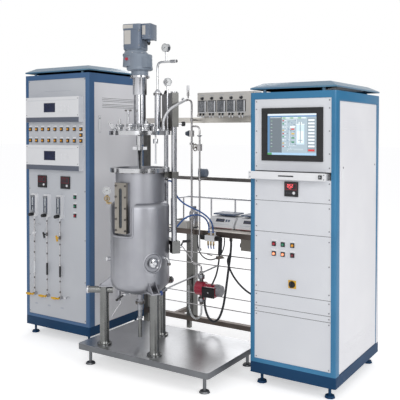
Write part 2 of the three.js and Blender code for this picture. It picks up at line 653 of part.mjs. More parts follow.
// An outline drawn as (across, up), run outwards at an angle between two distances from the axis.
function facing(outline, near, far, angle) {
  const settings = { depth: far - near, bevelEnabled: false, curveSegments: 2 };
  const run = new THREE.ExtrudeGeometry(outline, settings).rotateX(Math.PI / 2).translate(0, -near, 0);
  return turned(run, angle + 90);
}

function roundedOutline(x0, x1, y0, y1, radius) {
  const outline = new THREE.Shape();
  outline.absarc(x1 - radius, y0 + radius, radius, -Math.PI / 2, 0);
  outline.absarc(x1 - radius, y1 - radius, radius, 0, Math.PI / 2);
  outline.absarc(x0 + radius, y1 - radius, radius, Math.PI / 2, Math.PI);
  outline.absarc(x0 + radius, y0 + radius, radius, Math.PI, Math.PI * 1.5);
  return outline;
}

function discOutline(z, radius) {
  const points = ring(radius, MEDIUM).getPoints();
  return new THREE.Shape(points.map((point) => new THREE.Vector2(point.x, point.y + z)));
}

// A dished end as profile points, from its lowest point on the axis to its rim.
function dish(radius, bottom, rim, steps) {
  const points = [];
  for (let i = 0; i <= steps; i++) {
    const angle = (i / steps) * (Math.PI / 2);
    points.push([radius * Math.sin(angle), rim - (rim - bottom) * Math.cos(angle)]);
  }
  return points;
}

// The rounded shoulder that closes the jacket onto the upper shell.
function shoulder(outerRadius, innerRadius, top, height, steps) {
  const points = [];
  for (let i = 0; i <= steps; i++) {
    const angle = (i / steps) * (Math.PI / 2);
    const radius = innerRadius + (outerRadius - innerRadius) * Math.cos(angle);
    points.push([radius, top - height + height * Math.sin(angle)]);
  }
  return points;
}

function jacketWindow(wall) {
  const half = VESSEL.jacketRadius * Math.sin(rad(JACKET_WINDOW.halfAngle)) + wall;
  const outline = roundedOutline(-half, half, JACKET_WINDOW.bottom - wall, VESSEL.flangeTop,
    JACKET_WINDOW.corner + wall);
  return facing(outline, VESSEL.bodyRadius * 0.6, VESSEL.jacketRadius + 10, JACKET_WINDOW.angle);
}

// The jacket's outer skin as a solid, with its window round the sight glass and its port dimple.
function jacketBody(offset) {
  const radius = VESSEL.jacketRadius - offset;
  const top = VESSEL.jacketTop - offset;
  const profile = [
    ...dish(radius, VESSEL.bottom + offset, VESSEL.straightFrom, 5),
    ...shoulder(radius, VESSEL.bodyRadius - WELD, top, VESSEL.shoulder, 3),
    [0, top],
  ];
  const dimple = facing(discOutline(PORT_RECESS.z, PORT_RECESS.radius + offset),
    VESSEL.jacketRadius - PORT_RECESS.depth - offset, VESSEL.jacketRadius + 10, PORT_RECESS.angle);
  return cut(revolve(profile), jacketWindow(offset), dimple);
}

function innerShell(offset) {
  const radius = VESSEL.bodyRadius - offset;
  const bottom = VESSEL.bottom + JACKET_SPACE + offset;
  return revolve([...dish(radius, bottom, VESSEL.straightFrom + JACKET_SPACE / 2, 5),
    [radius, VESSEL.flangeTop], [0, VESSEL.flangeTop]]);
}

// A nipple standing out from the wall at an angle and height, with a clamp collar.
function nipple(angle, z, from, to, radius) {
  const [x0, y0] = polar(angle, from);
  const [x1, y1] = polar(angle, to);
  const [cx, cy] = polar(angle, to - 8);
  return join(bar([x0, y0, z], [x1, y1, z], radius, SMALL), bar([cx, cy, z], [x1, y1, z], radius + 4, SMALL));
}

// Two gusset plates on a pad that rests on the head of a leg.
function legLug(angle) {
  const pad = block(VESSEL.jacketRadius - 30, LEG.ring + LEG.radius, -LEG.radius, LEG.radius, LEG.top,
    LEG.top + 8);
  const outline = new THREE.Shape();
  outline.moveTo(VESSEL.jacketRadius - 20, LEG.top + 2);
  outline.lineTo(LEG.ring + 18, LEG.top + 2);
  outline.lineTo(LEG.ring + 18, LEG.top + 14);
  outline.lineTo(VESSEL.jacketRadius - 2, LEG.top + 64);
  outline.lineTo(VESSEL.jacketRadius - 20, LEG.top + 64);
  const plates = [-24, 18].map((side) => {
    const gusset = new THREE.ExtrudeGeometry(outline, { depth: 6, bevelEnabled: false });
    return gusset.rotateX(Math.PI / 2).translate(0, side + 6, 0);
  });
  return [pad, ...plates].map((shape) => turned(shape, angle));
}

// The jacketed vessel: an inner shell in a dished jacket whose space opens at its two ports.
function vessel() {
  const flange = upright(0, 0, VESSEL.flangeTop - VESSEL.flangeThickness, VESSEL.flangeTop,
    VESSEL.flangeRadius, ROUND);
  const boss = block(VESSEL.bodyRadius * 0.8, SIGHT_GLASS.face - SIGHT_GLASS.thickness + 10,
    -SIGHT_GLASS.width / 2 + 2, SIGHT_GLASS.width / 2 - 2, SIGHT_GLASS.bottom + 4,
    SIGHT_GLASS.bottom + SIGHT_GLASS.height - 4);
  const glassPort = facing(sightSlot(), VESSEL.bodyRadius * 0.6, SIGHT_GLASS.face, SIGHT_GLASS.angle);
  const inlet = nipple(JACKET_INLET.angle, JACKET_INLET.z, VESSEL.jacketRadius - 5, JACKET_INLET.reach, 13);
  const outlet = nipple(JACKET_OUTLET.angle, JACKET_OUTLET.z, VESSEL.jacketRadius - 5,
    JACKET_OUTLET.reach, 9);
  const upperPort = nipple(UPPER_PORT.angle, UPPER_PORT.z, VESSEL.bodyRadius - 3, UPPER_PORT.reach, 9);
  const sidePort = nipple(PORT_RECESS.angle, PORT_RECESS.z, VESSEL.bodyRadius - 3,
    VESSEL.jacketRadius + 6, 22);
  const gaugeFoot = polar(JACKET_GAUGE.angle, VESSEL.jacketRadius - 12);
  const [gaugeX, gaugeY] = polar(JACKET_GAUGE.angle, JACKET_GAUGE.reach);
  const gaugeArm = bar([...gaugeFoot, JACKET_GAUGE.z], [gaugeX, gaugeY, JACKET_GAUGE.z], 5, SMALL);
  const jacketGauge = gauge(gaugeX, gaugeY, JACKET_GAUGE.z + JACKET_GAUGE.height,
    JACKET_GAUGE.height - GAUGE.radius + 5);
  const nozzleEnd = VESSEL.bottom - BOTTOM_NOZZLE.drop;
  const bottomNozzle = upright(0, 0, nozzleEnd, VESSEL.bottom + JACKET_SPACE + 3, BOTTOM_NOZZLE.radius,
    MEDIUM);
  const bottomCollar = upright(0, 0, nozzleEnd, nozzleEnd + BOTTOM_NOZZLE.collarHeight,
    BOTTOM_NOZZLE.collarRadius, MEDIUM);
  const [sampleX, sampleY] = polar(SAMPLE_VALVE.angle, SAMPLE_VALVE.distance);
  const sampleValve = upright(sampleX, sampleY, SAMPLE_VALVE.bottom, VESSEL.bottom + 60,
    SAMPLE_VALVE.radius, SMALL);
  const skin = join(jacketBody(0), innerShell(0), flange, turned(boss, SIGHT_GLASS.angle), bottomCollar,
    sampleValve, ...LEG.angles.flatMap(legLug), inlet, outlet, upperPort, gaugeArm, ...jacketGauge);
  const space = cut(jacketBody(VESSEL.jacketWall), innerShell(0));
  const hollow = join(cut(skin, space), sidePort, bottomNozzle);
  return cut(hollow, innerShell(VESSEL.wall), glassPort, ...vesselBores());
}

function vesselBores() {
  const bore = (angle, z, from, to, radius) => {
    const [x0, y0] = polar(angle, from);
    const [x1, y1] = polar(angle, to);
    return bar([x0, y0, z], [x1, y1, z], radius, SMALL);
  };
  const middle = (VESSEL.jacketRadius + VESSEL.bodyRadius) / 2;
  return [
    bore(JACKET_INLET.angle, JACKET_INLET.z, middle, JACKET_INLET.reach + 1, 9),
    bore(JACKET_OUTLET.angle, JACKET_OUTLET.z, middle, JACKET_OUTLET.reach + 1, 6),
    bore(UPPER_PORT.angle, UPPER_PORT.z, VESSEL.bodyRadius - 20, UPPER_PORT.reach + 1, 6),
    bore(PORT_RECESS.angle, PORT_RECESS.z, VESSEL.bodyRadius - 20, VESSEL.jacketRadius + 7, 15),
    upright(0, 0, VESSEL.bottom - BOTTOM_NOZZLE.drop - 1, VESSEL.bottom + JACKET_SPACE + 20,
      BOTTOM_NOZZLE.bore, MEDIUM),
  ];
}

function sightSlot() {
  const middle = SIGHT_GLASS.bottom + SIGHT_GLASS.height / 2;
  const half = SIGHT_GLASS.slotHeight / 2;
  const side = SIGHT_GLASS.slotWidth / 2;
  return roundedOutline(-side, side, middle - half, middle + half, side - 0.1);
}

function sightGlassFrame() {
  const near = SIGHT_GLASS.face - SIGHT_GLASS.thickness + 10 + FIT_GAP;
  const plate = block(near, SIGHT_GLASS.face, -SIGHT_GLASS.width / 2, SIGHT_GLASS.width / 2,
    SIGHT_GLASS.bottom, SIGHT_GLASS.bottom + SIGHT_GLASS.height);
  const slot = facing(sightSlot(), near - 1, SIGHT_GLASS.face + 1, SIGHT_GLASS.angle);
  return cut(turned(plate, SIGHT_GLASS.angle), slot);
}

// The drain under the bottom nozzle: a clamp, a ball valve and a short pipe.
function drainValve() {
  const top = VESSEL.bottom - BOTTOM_NOZZLE.drop - FIT_GAP;
  const bodyBottom = top - DRAIN.bodyBottom;
  const end = top - DRAIN.outletBottom;
  const clamp = upright(0, 0, top - DRAIN.clampHeight, top, DRAIN.clampRadius, MEDIUM);
  const body = upright(0, 0, bodyBottom, top - DRAIN.clampHeight + WELD, DRAIN.bodyRadius, 8);
  const outlet = upright(0, 0, end, bodyBottom + WELD, DRAIN.outletRadius, SMALL);
  const lip = upright(0, 0, end, end + DRAIN.lipHeight, DRAIN.lipRadius, SMALL);
  return join(clamp, body, outlet, lip);
}

function sampleValveLever() {
  const [x, y] = polar(SAMPLE_VALVE.angle, SAMPLE_VALVE.distance);
  const z = SAMPLE_VALVE.bottom + 12;
  const back = y - SAMPLE_VALVE.radius - FIT_GAP;
  const hub = bar([x, back, z], [x, back - 12, z], 8, SMALL);
  const tipX = x + 60 * Math.cos(rad(35));
  const tipZ = z + 60 * Math.sin(rad(35));
  const lever = bar([x, back - 8, z], [tipX, back - 8, tipZ], 5, 8, 7);
  return join(hub, lever);
}

// ---- Lift: in a frame turned so that x runs out through the lift and y along its span ----

function carriageBottom() {
  return lidTop() + FIT_GAP + LIFT.armThickness;
}

function liftTop() {
  return carriageBottom() + LIFT.carriageHeight + LIFT.headroom;
}

// The column, guide rod, crank box and the two brackets that clamp them to the vessel.
function liftColumn() {
  const { distance, halfSpan, bottom } = LIFT;
  const top = liftTop();
  const column = upright(distance, -halfSpan, bottom, top, LIFT.columnRadius, MEDIUM);
  const rodBar = upright(distance, halfSpan, bottom + 10, top - 8, LIFT.rodRadius, MEDIUM);
  const half = LIFT.carriageDepth / 2;
  const end = halfSpan + LIFT.carriageEnd;
  const flangeUnder = VESSEL.flangeTop - VESSEL.flangeThickness - FIT_GAP;
  const upperPlate = block(distance - half, distance + half, -end, end, flangeUnder - 40, flangeUnder);
  const upperWeb = block(VESSEL.bodyRadius - 20, distance, -45, 45, flangeUnder - 40, flangeUnder);
  const lowerPlate = block(distance - half, distance + half, -end, end, bottom + 45, bottom + 73);
  const boxMiddle = distance + CRANK.boxDepth / 2 - half;
  const crankBox = block(boxMiddle - CRANK.boxDepth / 2, boxMiddle + CRANK.boxDepth / 2,
    -halfSpan - CRANK.boxWidth / 2, -halfSpan + CRANK.boxWidth / 2, bottom - 5, bottom - 5 + CRANK.boxHeight);
  const cap = upright(distance, -halfSpan, top - 6, top, LIFT.columnRadius + 5, MEDIUM);
  const shellClear = upright(0, 0, VESSEL.jacketTop, VESSEL.flangeTop, clearing(VESSEL.bodyRadius), ROUND);
  const jacketClear = upright(0, 0, bottom - 50, VESSEL.jacketTop, clearing(VESSEL.jacketRadius), ROUND);
  const whole = join(column, rodBar, upperPlate, upperWeb, lowerPlate, crankBox, cap);
  return turned(cut(whole, shellClear, jacketClear), LIFT.angle);
}

function crankFace() {
  return LIFT.distance - LIFT.carriageDepth / 2 + CRANK.boxDepth + FIT_GAP;
}

function crankHeight() {
  return LIFT.bottom - 5 + CRANK.boxHeight / 2;
}

function liftCrank() {
  const x = crankFace();
  const y = -LIFT.halfSpan;
  const z = crankHeight();
  const hub = bar([x, y, z], [x + 18, y, z], CRANK.hubRadius, MEDIUM);
  const arm = bar([x + 12, y, z], [x + 12, y - CRANK.arm * 0.8, z + CRANK.arm * 0.6], 6, 8);
  const grip = bar([x + 8, y - CRANK.arm * 0.8, z + CRANK.arm * 0.6],
    [x + 8 + CRANK.gripLength, y - CRANK.arm * 0.8, z + CRANK.arm * 0.6], CRANK.gripRadius, SMALL);
  return turned(join(hub, arm, grip), LIFT.angle);
}

// The carriage slides on the column and rod and carries the lid on a ribbed arm.
function liftCarriage() {
  const { distance, halfSpan } = LIFT;
  const half = LIFT.carriageDepth / 2;
  const end = halfSpan + LIFT.carriageEnd;
  const bottom = carriageBottom();
  const top = bottom + LIFT.carriageHeight;
  const body = block(distance - half, distance + half, -end, end, bottom, top);
  const armBottom = lidTop() + FIT_GAP;
  const armPlate = block(LIFT.armReach, distance + half, -LIFT.armWidth / 2, LIFT.armWidth / 2, armBottom,
    bottom + WELD);
  const ribOutline = new THREE.Shape();
  ribOutline.moveTo(LIFT.armReach + 15, bottom);
  ribOutline.lineTo(distance - half + WELD, bottom);
  ribOutline.lineTo(distance - half + WELD, bottom + LIFT.carriageHeight / 2);
  const ribs = [-LIFT.armWidth / 2, LIFT.armWidth / 2 - 6].map((side) => {
    const rib = new THREE.ExtrudeGeometry(ribOutline, { depth: 6, bevelEnabled: false });
    return rib.rotateX(Math.PI / 2).translate(0, side + 6, 0);
  });
  const knobZ = bottom + LOCK_KNOB.rise;
  const face = distance + half;
  const lockScrew = bar([face - WELD, -halfSpan, knobZ], [face + LOCK_KNOB.start + 4, -halfSpan, knobZ],
    LOCK_KNOB.screwRadius, SMALL);
  const lockKnob = bar([face + LOCK_KNOB.start, -halfSpan, knobZ], [face + LOCK_KNOB.end, -halfSpan, knobZ],
    LOCK_KNOB.radius, SMALL);
  const columnBore = upright(distance, -halfSpan, bottom - 1, top + 1, runningBore(LIFT.columnRadius),
    MEDIUM);
  const rodBore = upright(distance, halfSpan, bottom - 1, top + 1, runningBore(LIFT.rodRadius), MEDIUM);
  const whole = join(body, armPlate, ...ribs, lockScrew, lockKnob);
  return turned(cut(whole, columnBore, rodBore), LIFT.angle);
}

// ---- Lid and drive -----------------------------------------------------------------------

function lidBottom() {
  return VESSEL.flangeTop + LIFT.travel + FIT_GAP;
}

function lidTop() {
  return lidBottom() + LID.thickness;
}

// The lid plate with its drive neck, clamp nozzles, bail handle, probe rods and spray ball.
function vesselLid() {
  const bottom = lidBottom();
  const top = lidTop();
  const neckTop = top + LID.neckHeight;
  const plate = revolve([[0, bottom], [LID.radius, bottom], [LID.radius, top], [LID.neckRadius, top],
    [LID.neckRadius, neckTop], [0, neckTop]]);
  const shaftBore = upright(0, 0, bottom - 1, neckTop + 1, runningBore(SHAFT.radius), MEDIUM);
  const whole = join(plate, ...lidNozzles(top), ...teeBar(top), ...lidSeats(top), ...probeRod(bottom),
    bailHandle(top), ...lidGauge(top));
  return cut(whole, shaftBore);
}

function lidNozzles(top) {
  return LID_NOZZLE.places.map(([angle, distance]) => {
    const [x, y] = polar(angle, distance);
    const pipeUp = upright(x, y, top - WELD, top + LID_NOZZLE.height, LID_NOZZLE.radius, SMALL);
    const clamp = upright(x, y, top + LID_NOZZLE.clampBottom, top + LID_NOZZLE.clampTop,
      LID_NOZZLE.clampRadius, SMALL);
    return join(pipeUp, clamp);
  });
}

function teeBar(top) {
  const [x, y] = polar(TEE_BAR.angle, TEE_BAR.distance);
  const z = top + TEE_BAR.height;
  const stem = upright(x, y, top - WELD, z + 3, TEE_BAR.stemRadius, SMALL);
  const cross = bar([x - TEE_BAR.halfLength, y, z], [x + TEE_BAR.halfLength, y, z], TEE_BAR.radius, SMALL);
  return [stem, cross];
}

// The exhaust port and the seat that the condenser stands on.
function lidSeats(top) {
  const exhaust = upright(EXHAUST_PORT.x, EXHAUST_PORT.y, top - WELD, top + EXHAUST_PORT.height,
    EXHAUST_PORT.radius, SMALL);
  const [x, y] = polar(CONDENSER.angle, CONDENSER.distance);
  const seat = upright(x, y, top - WELD, top + CONDENSER.seat, CONDENSER.radius + 4, MEDIUM);
  return [exhaust, seat];
}

function probeRod(bottom) {
  const [x, y] = polar(PROBE.angle, PROBE.distance);
  const rod = upright(x, y, bottom - PROBE.length, bottom + WELD, PROBE.radius, 8);
  const sprayBall = upright(x, y, bottom - PROBE.ballBottom, bottom - PROBE.ballTop, PROBE.ballRadius, SMALL);
  return [rod, sprayBall];
}

function bailHandle(top) {
  const { near, far, halfWidth, height } = BAIL;
  const route = [[near, -halfWidth, top - WELD], [far, -halfWidth, top + height],
    [far, halfWidth, top + height], [near, halfWidth, top - WELD]];
  return turned(pipe(route, BAIL.radius, BAIL.bend, 8), BAIL.angle);
}

function lidGauge(top) {
  const [x, y] = polar(LID_GAUGE.angle, LID_GAUGE.distance);
  const z = top + LID_GAUGE.height;
  return gauge(x, y, z, z - GAUGE.radius - top + WELD);
}

function driveBottom() {
  return lidTop() + LID.neckHeight + FIT_GAP;
}

// The polished drive tube, stepped, with flanges at both ends.
function driveTube() {
  const bottom = driveBottom();
  const bore = DRIVE.lowerRadius - DRIVE.wall;
  const step = bottom + DRIVE.stepHeight;
  const flange = bottom + DRIVE.height;
  const top = flange + DRIVE.flangeHeight;
  const foot = bottom + DRIVE.footHeight;
  return revolve([[bore, bottom], [LID.neckRadius, bottom], [LID.neckRadius, foot],
    [DRIVE.lowerRadius, foot], [DRIVE.lowerRadius, step], [DRIVE.upperRadius, step],
    [DRIVE.upperRadius, flange], [DRIVE.flangeRadius, flange], [DRIVE.flangeRadius, top], [bore, top],
    [bore, bottom]]);
}

function gearboxBottom() {
  return driveBottom() + DRIVE.height + DRIVE.flangeHeight + FIT_GAP;
}

function gearboxTop() {
  return gearboxBottom() + GEARBOX.neckHeight + GEARBOX.bodyHeight + GEARBOX.coneHeight;
}

// The cast gear housing: output neck, offset gear case with its ribs, and the motor adaptor.
function gearbox() {
  const bottom = gearboxBottom();
  const caseBottom = bottom + GEARBOX.neckHeight;
  const caseTop = caseBottom + GEARBOX.bodyHeight;
  const radius = GEARBOX.bodyRadius;
  const neck = upright(0, 0, bottom, caseBottom + 10, GEARBOX.neckRadius, ROUND);
  const gearCase = upright(0, 0, caseBottom, caseTop, radius, ROUND, radius * 0.97);
  const inputCase = upright(MOTOR.offset, 0, caseBottom + 25, caseTop, radius, ROUND, radius * 0.95);
  const adaptor = upright(MOTOR.offset, 0, caseTop - WELD, gearboxTop(), radius * 0.95, ROUND,
    GEARBOX.coneRadius);
  const foot = block(20, radius + 16, -58, -2, caseBottom + 12, caseBottom + 78);
  const plugX = MOTOR.offset - 30;
  const plugZ = caseTop - 24;
  const breather = bar([plugX, -radius * 0.9, plugZ], [plugX, -radius - 8, plugZ], 9, SMALL);
  return join(neck, gearCase, inputCase, adaptor, foot, breather);
}

// A finned square motor body under a plain fan cowl.
function motor() {
  const bottom = gearboxTop() + FIT_GAP;
  const top = bottom + MOTOR.height;
  const cowlBottom = top - MOTOR.cowlHeight;
  const half = MOTOR.width / 2;
  const body = roundedBlock(-half, half, -half, half, bottom, cowlBottom + WELD, 16);
  const grooves = [];
  const pitch = (MOTOR.width - 36) / MOTOR.finCount;
  for (let fin = 0; fin < MOTOR.finCount; fin++) {
    const near = -half + 18 + pitch * (fin + 0.25);
    const far = near + pitch * 0.5;
    for (const side of [-1, 1]) {
      const inner = side * (half - MOTOR.finDepth);
      const outer = side * (half + 1);
      grooves.push(block(Math.min(inner, outer), Math.max(inner, outer), near, far, bottom + 12, cowlBottom));
    }
    grooves.push(block(near, far, half - MOTOR.finDepth, half + 1, bottom + 12, cowlBottom));
  }
  const cowl = roundedBlock(-half - 3, half + 3, -half - 3, half + 3, cowlBottom, top, 18);
  const slots = [];
  for (let row = -2; row <= 2; row++) {
    const reach = Math.sqrt(52 ** 2 - (row * 20) ** 2);
    slots.push(block(-reach, reach, row * 20 - 4, row * 20 + 4, top - 6, top + 1));
  }
  const shape = cut(join(body, cowl), ...grooves, ...slots);
  return turned(shape, MOTOR.turn).translate([MOTOR.offset, 0, 0]);
}

function terminalBox() {
  const top = gearboxTop() + FIT_GAP + MOTOR.height;
  const start = MOTOR.width / 2 + 3 + FIT_GAP;
  const half = TERMINAL_BOX.width / 2;
  const box = roundedBlock(start, start + TERMINAL_BOX.depth - 8, -half, half, top - TERMINAL_BOX.height,
    top, 5);
  const cover = roundedBlock(start + TERMINAL_BOX.depth - 10, start + TERMINAL_BOX.depth, -half - 3, half + 3,
    top - TERMINAL_BOX.height - 3, top, 5);
  const under = top - TERMINAL_BOX.height;
  const gland = upright(start + 28, 0, under - 16, under + WELD, 10, SMALL);
  return turned(join(box, cover, gland), MOTOR.turn).translate([MOTOR.offset, 0, 0]);
}

// A dial gauge on its stem: centred at a height, facing out over the front.
function gauge(x, y, z, stem = GAUGE.stem) {
  const [dx, dy] = polar(GAUGE.facing, GAUGE.depth / 2);
  const head = bar([x - dx, y - dy, z], [x + dx, y + dy, z], GAUGE.radius, MEDIUM);
  return [head, upright(x, y, z - GAUGE.radius - stem, z - GAUGE.radius + WELD, 5, SMALL)];
}

// The exhaust condenser with its clamp, and the pipe that bends away over it.
function condenser() {
  const [x, y] = polar(CONDENSER.angle, CONDENSER.distance);
  const { radius, pipeReach, pipeRadius } = CONDENSER;
  const bottom = lidTop() + CONDENSER.seat + FIT_GAP;
  const top = bottom + CONDENSER.height;
  const pipeTop = top + CONDENSER.pipeRise;
  const foot = upright(x, y, bottom, bottom + 12, radius + 6, MEDIUM);
  const body = upright(x, y, bottom, top, radius, MEDIUM);
  const clamp = upright(x, y, top - 24, top - 6, radius + 7, MEDIUM);
  const cone = upright(x, y, top - WELD, top + 16, radius, MEDIUM, pipeRadius);
  const vent = pipe([[x, y, top], [x, y, pipeTop], [x + pipeReach, y, pipeTop]], pipeRadius,
    CONDENSER.pipeBend);
  const gaugeX = x + pipeReach * 0.45;
  const gaugeZ = pipeTop + GAUGE.stem + GAUGE.radius;
  const nutX = x + pipeReach - 46;
  const valveNut = bar([nutX, y, pipeTop], [nutX + 30, y, pipeTop], CONDENSER.nutRadius, SMALL);
  return join(foot, body, clamp, cone, vent, valveNut, ...gauge(gaugeX, y, gaugeZ));
}

// The agitator: one shaft with its coupling sleeve and foam paddle, and a six-bladed turbine.
function shaftBottom() {
  return VESSEL.bottom + JACKET_SPACE + SHAFT.clearBottom + LIFT.travel;
}

function agitatorShaft() {
  const bottom = shaftBottom();
  const top = gearboxBottom() - 6;
  const shaft = upright(0, 0, bottom, top, SHAFT.radius, MEDIUM);
  const couplingTop = lidBottom() - 5;
  const coupling = upright(0, 0, couplingTop - SHAFT.couplingLength, couplingTop, SHAFT.couplingRadius,
    MEDIUM);
  const paddleZ = couplingTop - SHAFT.couplingLength - 22;
  const hub = upright(0, 0, paddleZ - 12, paddleZ + 12, SHAFT.radius + 6, MEDIUM);
  const paddle = block(-SHAFT.paddleReach, SHAFT.paddleReach, -3, 3, paddleZ - 10, paddleZ + 10);
  return join(shaft, coupling, hub, turned(paddle, 30));
}

function impeller() {
  const z = shaftBottom() + IMPELLER.above;
  const half = IMPELLER.bladeHeight / 2;
  const hub = upright(0, 0, z - 20, z + 20, IMPELLER.hubRadius, MEDIUM);
  const disc = upright(0, 0, z - 2, z + 2, IMPELLER.discRadius, ROUND);
  const blades = [];
  for (let i = 0; i < IMPELLER.blades; i++) {
    const blade = block(IMPELLER.discRadius - 16, IMPELLER.bladeReach, -IMPELLER.bladeThickness / 2,
      IMPELLER.bladeThickness / 2, z - half, z + half);
    blades.push(turned(blade, (360 / IMPELLER.blades) * i));
  }
  return cut(join(hub, disc, ...blades), upright(0, 0, z - 21, z + 21, SHAFT.radius + FIT_GAP, MEDIUM));
}

function skid() {
  const group = new THREE.Group();
  group.position.set(VESSEL_X, VESSEL_Y, 0);
  addPiece(group, 'platform', platform(), FINISH.steel);
  LEG.angles.forEach((angle, i) => addPiece(group, `leg_${i + 1}`, leg(angle), FINISH.steel));
  addPiece(group, 'vessel', vessel(), FINISH.blasted);
  addPiece(group, 'sight_glass_frame', sightGlassFrame(), FINISH.steel);
  addPiece(group, 'drain_valve', drainValve(), FINISH.steel);
  addPiece(group, 'sample_valve_lever', sampleValveLever(), FINISH.black);
  addPiece(group, 'lift_column', liftColumn(), FINISH.steel);
  addPiece(group, 'lift_crank', liftCrank(), FINISH.handGrip);
  addPiece(group, 'lift_carriage', liftCarriage(), FINISH.steel);
  addPiece(group, 'vessel_lid', vesselLid(), FINISH.steel);
  addPiece(group, 'drive_tube', driveTube(), FINISH.steel);
  addPiece(group, 'gearbox', gearbox(), FINISH.motorGrey);
  addPiece(group, 'motor', motor(), FINISH.motorGrey);
  addPiece(group, 'terminal_box', terminalBox(), FINISH.motorGrey);
  addPiece(group, 'condenser', condenser(), FINISH.steel);
  addPiece(group, 'agitator_shaft', agitatorShaft(), FINISH.steel);
  addPiece(group, 'impeller', impeller(), FINISH.steel);
  return group;
}

// ---- Rack: x and y from the system's origin ----------------------------------------------

// The welded tube frame, its rear legs under the shelf, the motor drum and the hose stub.
function rackFrame() {
  const { front, tube, left, right } = RACK;
  const back = front + tube;
  const uprightBar = (x0, x1) => block(x0, x1, front, back, 0, RACK.upperTop);
  const middle = front + tube / 2;
  const beam = (z0, z1, depth) => block(left + 5, right - 5, middle - depth / 2, middle + depth / 2, z0, z1);
  const post = block(RACK.postLeft, RACK.postLeft + RACK.postWidth, front, front + RACK.postWidth,
    RACK.postBottom, SHELF.bottom - FIT_GAP);
  const { legTube, legInset } = RACK;
  const rearY = SHELF.back - 20;
  const rearLegs = [SHELF.left + legInset, SHELF.right - legInset].flatMap((x) => [
    block(x - legTube / 2, x + legTube / 2, rearY - legTube, rearY, 0, SHELF.bottom - FIT_GAP),
    block(x - legTube / 2, x + legTube / 2, back - WELD, rearY - WELD, RACK.bottomBottom,
      RACK.bottomBottom + legTube),
  ]);
  const border = RACK.footBorder;
  const feet = [left, right - tube].map((x) =>
    block(x - border, x + tube + border, front - border, back + border, 0, RACK.footHeight));
  const drumZ = RACK.midTop + DRUM.radius - 1;
  const drum = bar([DRUM.left, middle, drumZ], [DRUM.right, middle, drumZ], DRUM.radius, MEDIUM);
  const { x, y, bottom, top, radius } = POST_STUB;
  const stub = upright(x, y, bottom, top, radius, SMALL);
  const stubArm = block(x - 8, x + 8, y, front + WELD, top - 30, top - 12);
  return join(uprightBar(left, left + tube), uprightBar(right - tube, right), post,
    beam(RACK.upperBottom, RACK.upperTop, tube), beam(RACK.midBottom, RACK.midTop, RACK.midTube),
    beam(RACK.bottomBottom, RACK.bottomTop, tube), ...rearLegs, ...feet, drum, stub, stubArm);
}

// The folded shelf with the junction box and the cable gland that hang under it.
function shelf() {
  const { left, right, front, back, bottom, top } = SHELF;
  const skin = 3;
  const tray = cut(block(left, right, front, back, bottom, top),
    block(left + skin, right - skin, front + skin, back - skin, bottom - 1, top - skin));
  const bearers = [SHELF.left + 20, RACK.postLeft - 10, SHELF.right - 100].map((x) =>
    block(x, x + 80, front + 1, back - 1, bottom, top - 1));
  const junction = JUNCTION_BOX;
  const junctionBox = block(junction.left, junction.right, front + 5, front + junction.depth,
    bottom - junction.drop, bottom + WELD);
  const boxHanger = block(junction.left + 7, junction.right - 10, front + 1, front + junction.depth + 5,
    bottom, top - 1);
  const [glandX, glandY, glandZ] = BLACK_HOSE_START;
  const gland = upright(glandX, glandY, glandZ + FIT_GAP, top - 1, 12, SMALL);
  return join(tray, ...bearers, boxHanger, junctionBox, gland);
}

// A guard rail round the back and ends of the shelf, on posts.
function shelfRail() {
  const y = SHELF.back - 15;
  const front = SHELF.front + 95;
  const x0 = SHELF.left + 15;
  const x1 = SHELF.right - 15;
  const z = RAIL.bottom;
  const rail = pipe([[x0, front, z], [x0, y, z], [x1, y, z], [x1, front, z]], RAIL.radius, 40);
  const base = SHELF.top + FIT_GAP;
  const posts = [[x0, front], [x0, y - 60], [x1, y - 60], [x1, front], [-60, y], [150, y], [380, y]];
  const uprights = posts.map(([x, py]) => upright(x, py, base, z + 1, RAIL.postRadius, SMALL));
  const half = RAIL.postRadius + 6;
  const pads = posts.map(([x, py]) => block(x - half, x + half, py - half, py + half, base, base + 5));
  return join(rail, ...uprights, ...pads);
}

// The pump bank: a housing with a row of open pump windows, a knob over each and ports below.
function pumpHeadX(head) {
  return PUMP_BANK.firstX + PUMP_BANK.pitch * head;
}

function pumpBank() {
  const { left, right, front, depth, bottom, top, recess } = PUMP_BANK;
  const housing = block(left, right, front, front + depth, bottom, top);
  const seat = block(left + 10, right - 10, front + 52, front + 88, RACK.upperTop + FIT_GAP, bottom + WELD);
  const half = PUMP_BANK.windowWidth / 2;
  const tracks = [];
  const fittings = [];
  for (let head = 0; head < PUMP_BANK.heads; head++) {
    const x = pumpHeadX(head);
    tracks.push(block(x - half, x + half, front - 1, front + recess, PUMP_BANK.windowBottom,
      PUMP_BANK.windowTop));
    fittings.push(bar([x, front + WELD, top - 42], [x, front - 16, top - 42], 9, 8));
    fittings.push(bar([x, front + recess + WELD, pumpRotorZ()], [x, front + 4, pumpRotorZ()], 4, SMALL));
    for (const side of [-13, 13]) {
      fittings.push(block(x + side - 5, x + side + 5, front - 13, front + WELD, bottom + 8, bottom + 26));
    }
  }
  return join(cut(housing, ...tracks), seat, ...fittings);
}

function pumpRotorZ() {
  return (PUMP_BANK.windowBottom + PUMP_BANK.windowTop) / 2;
}

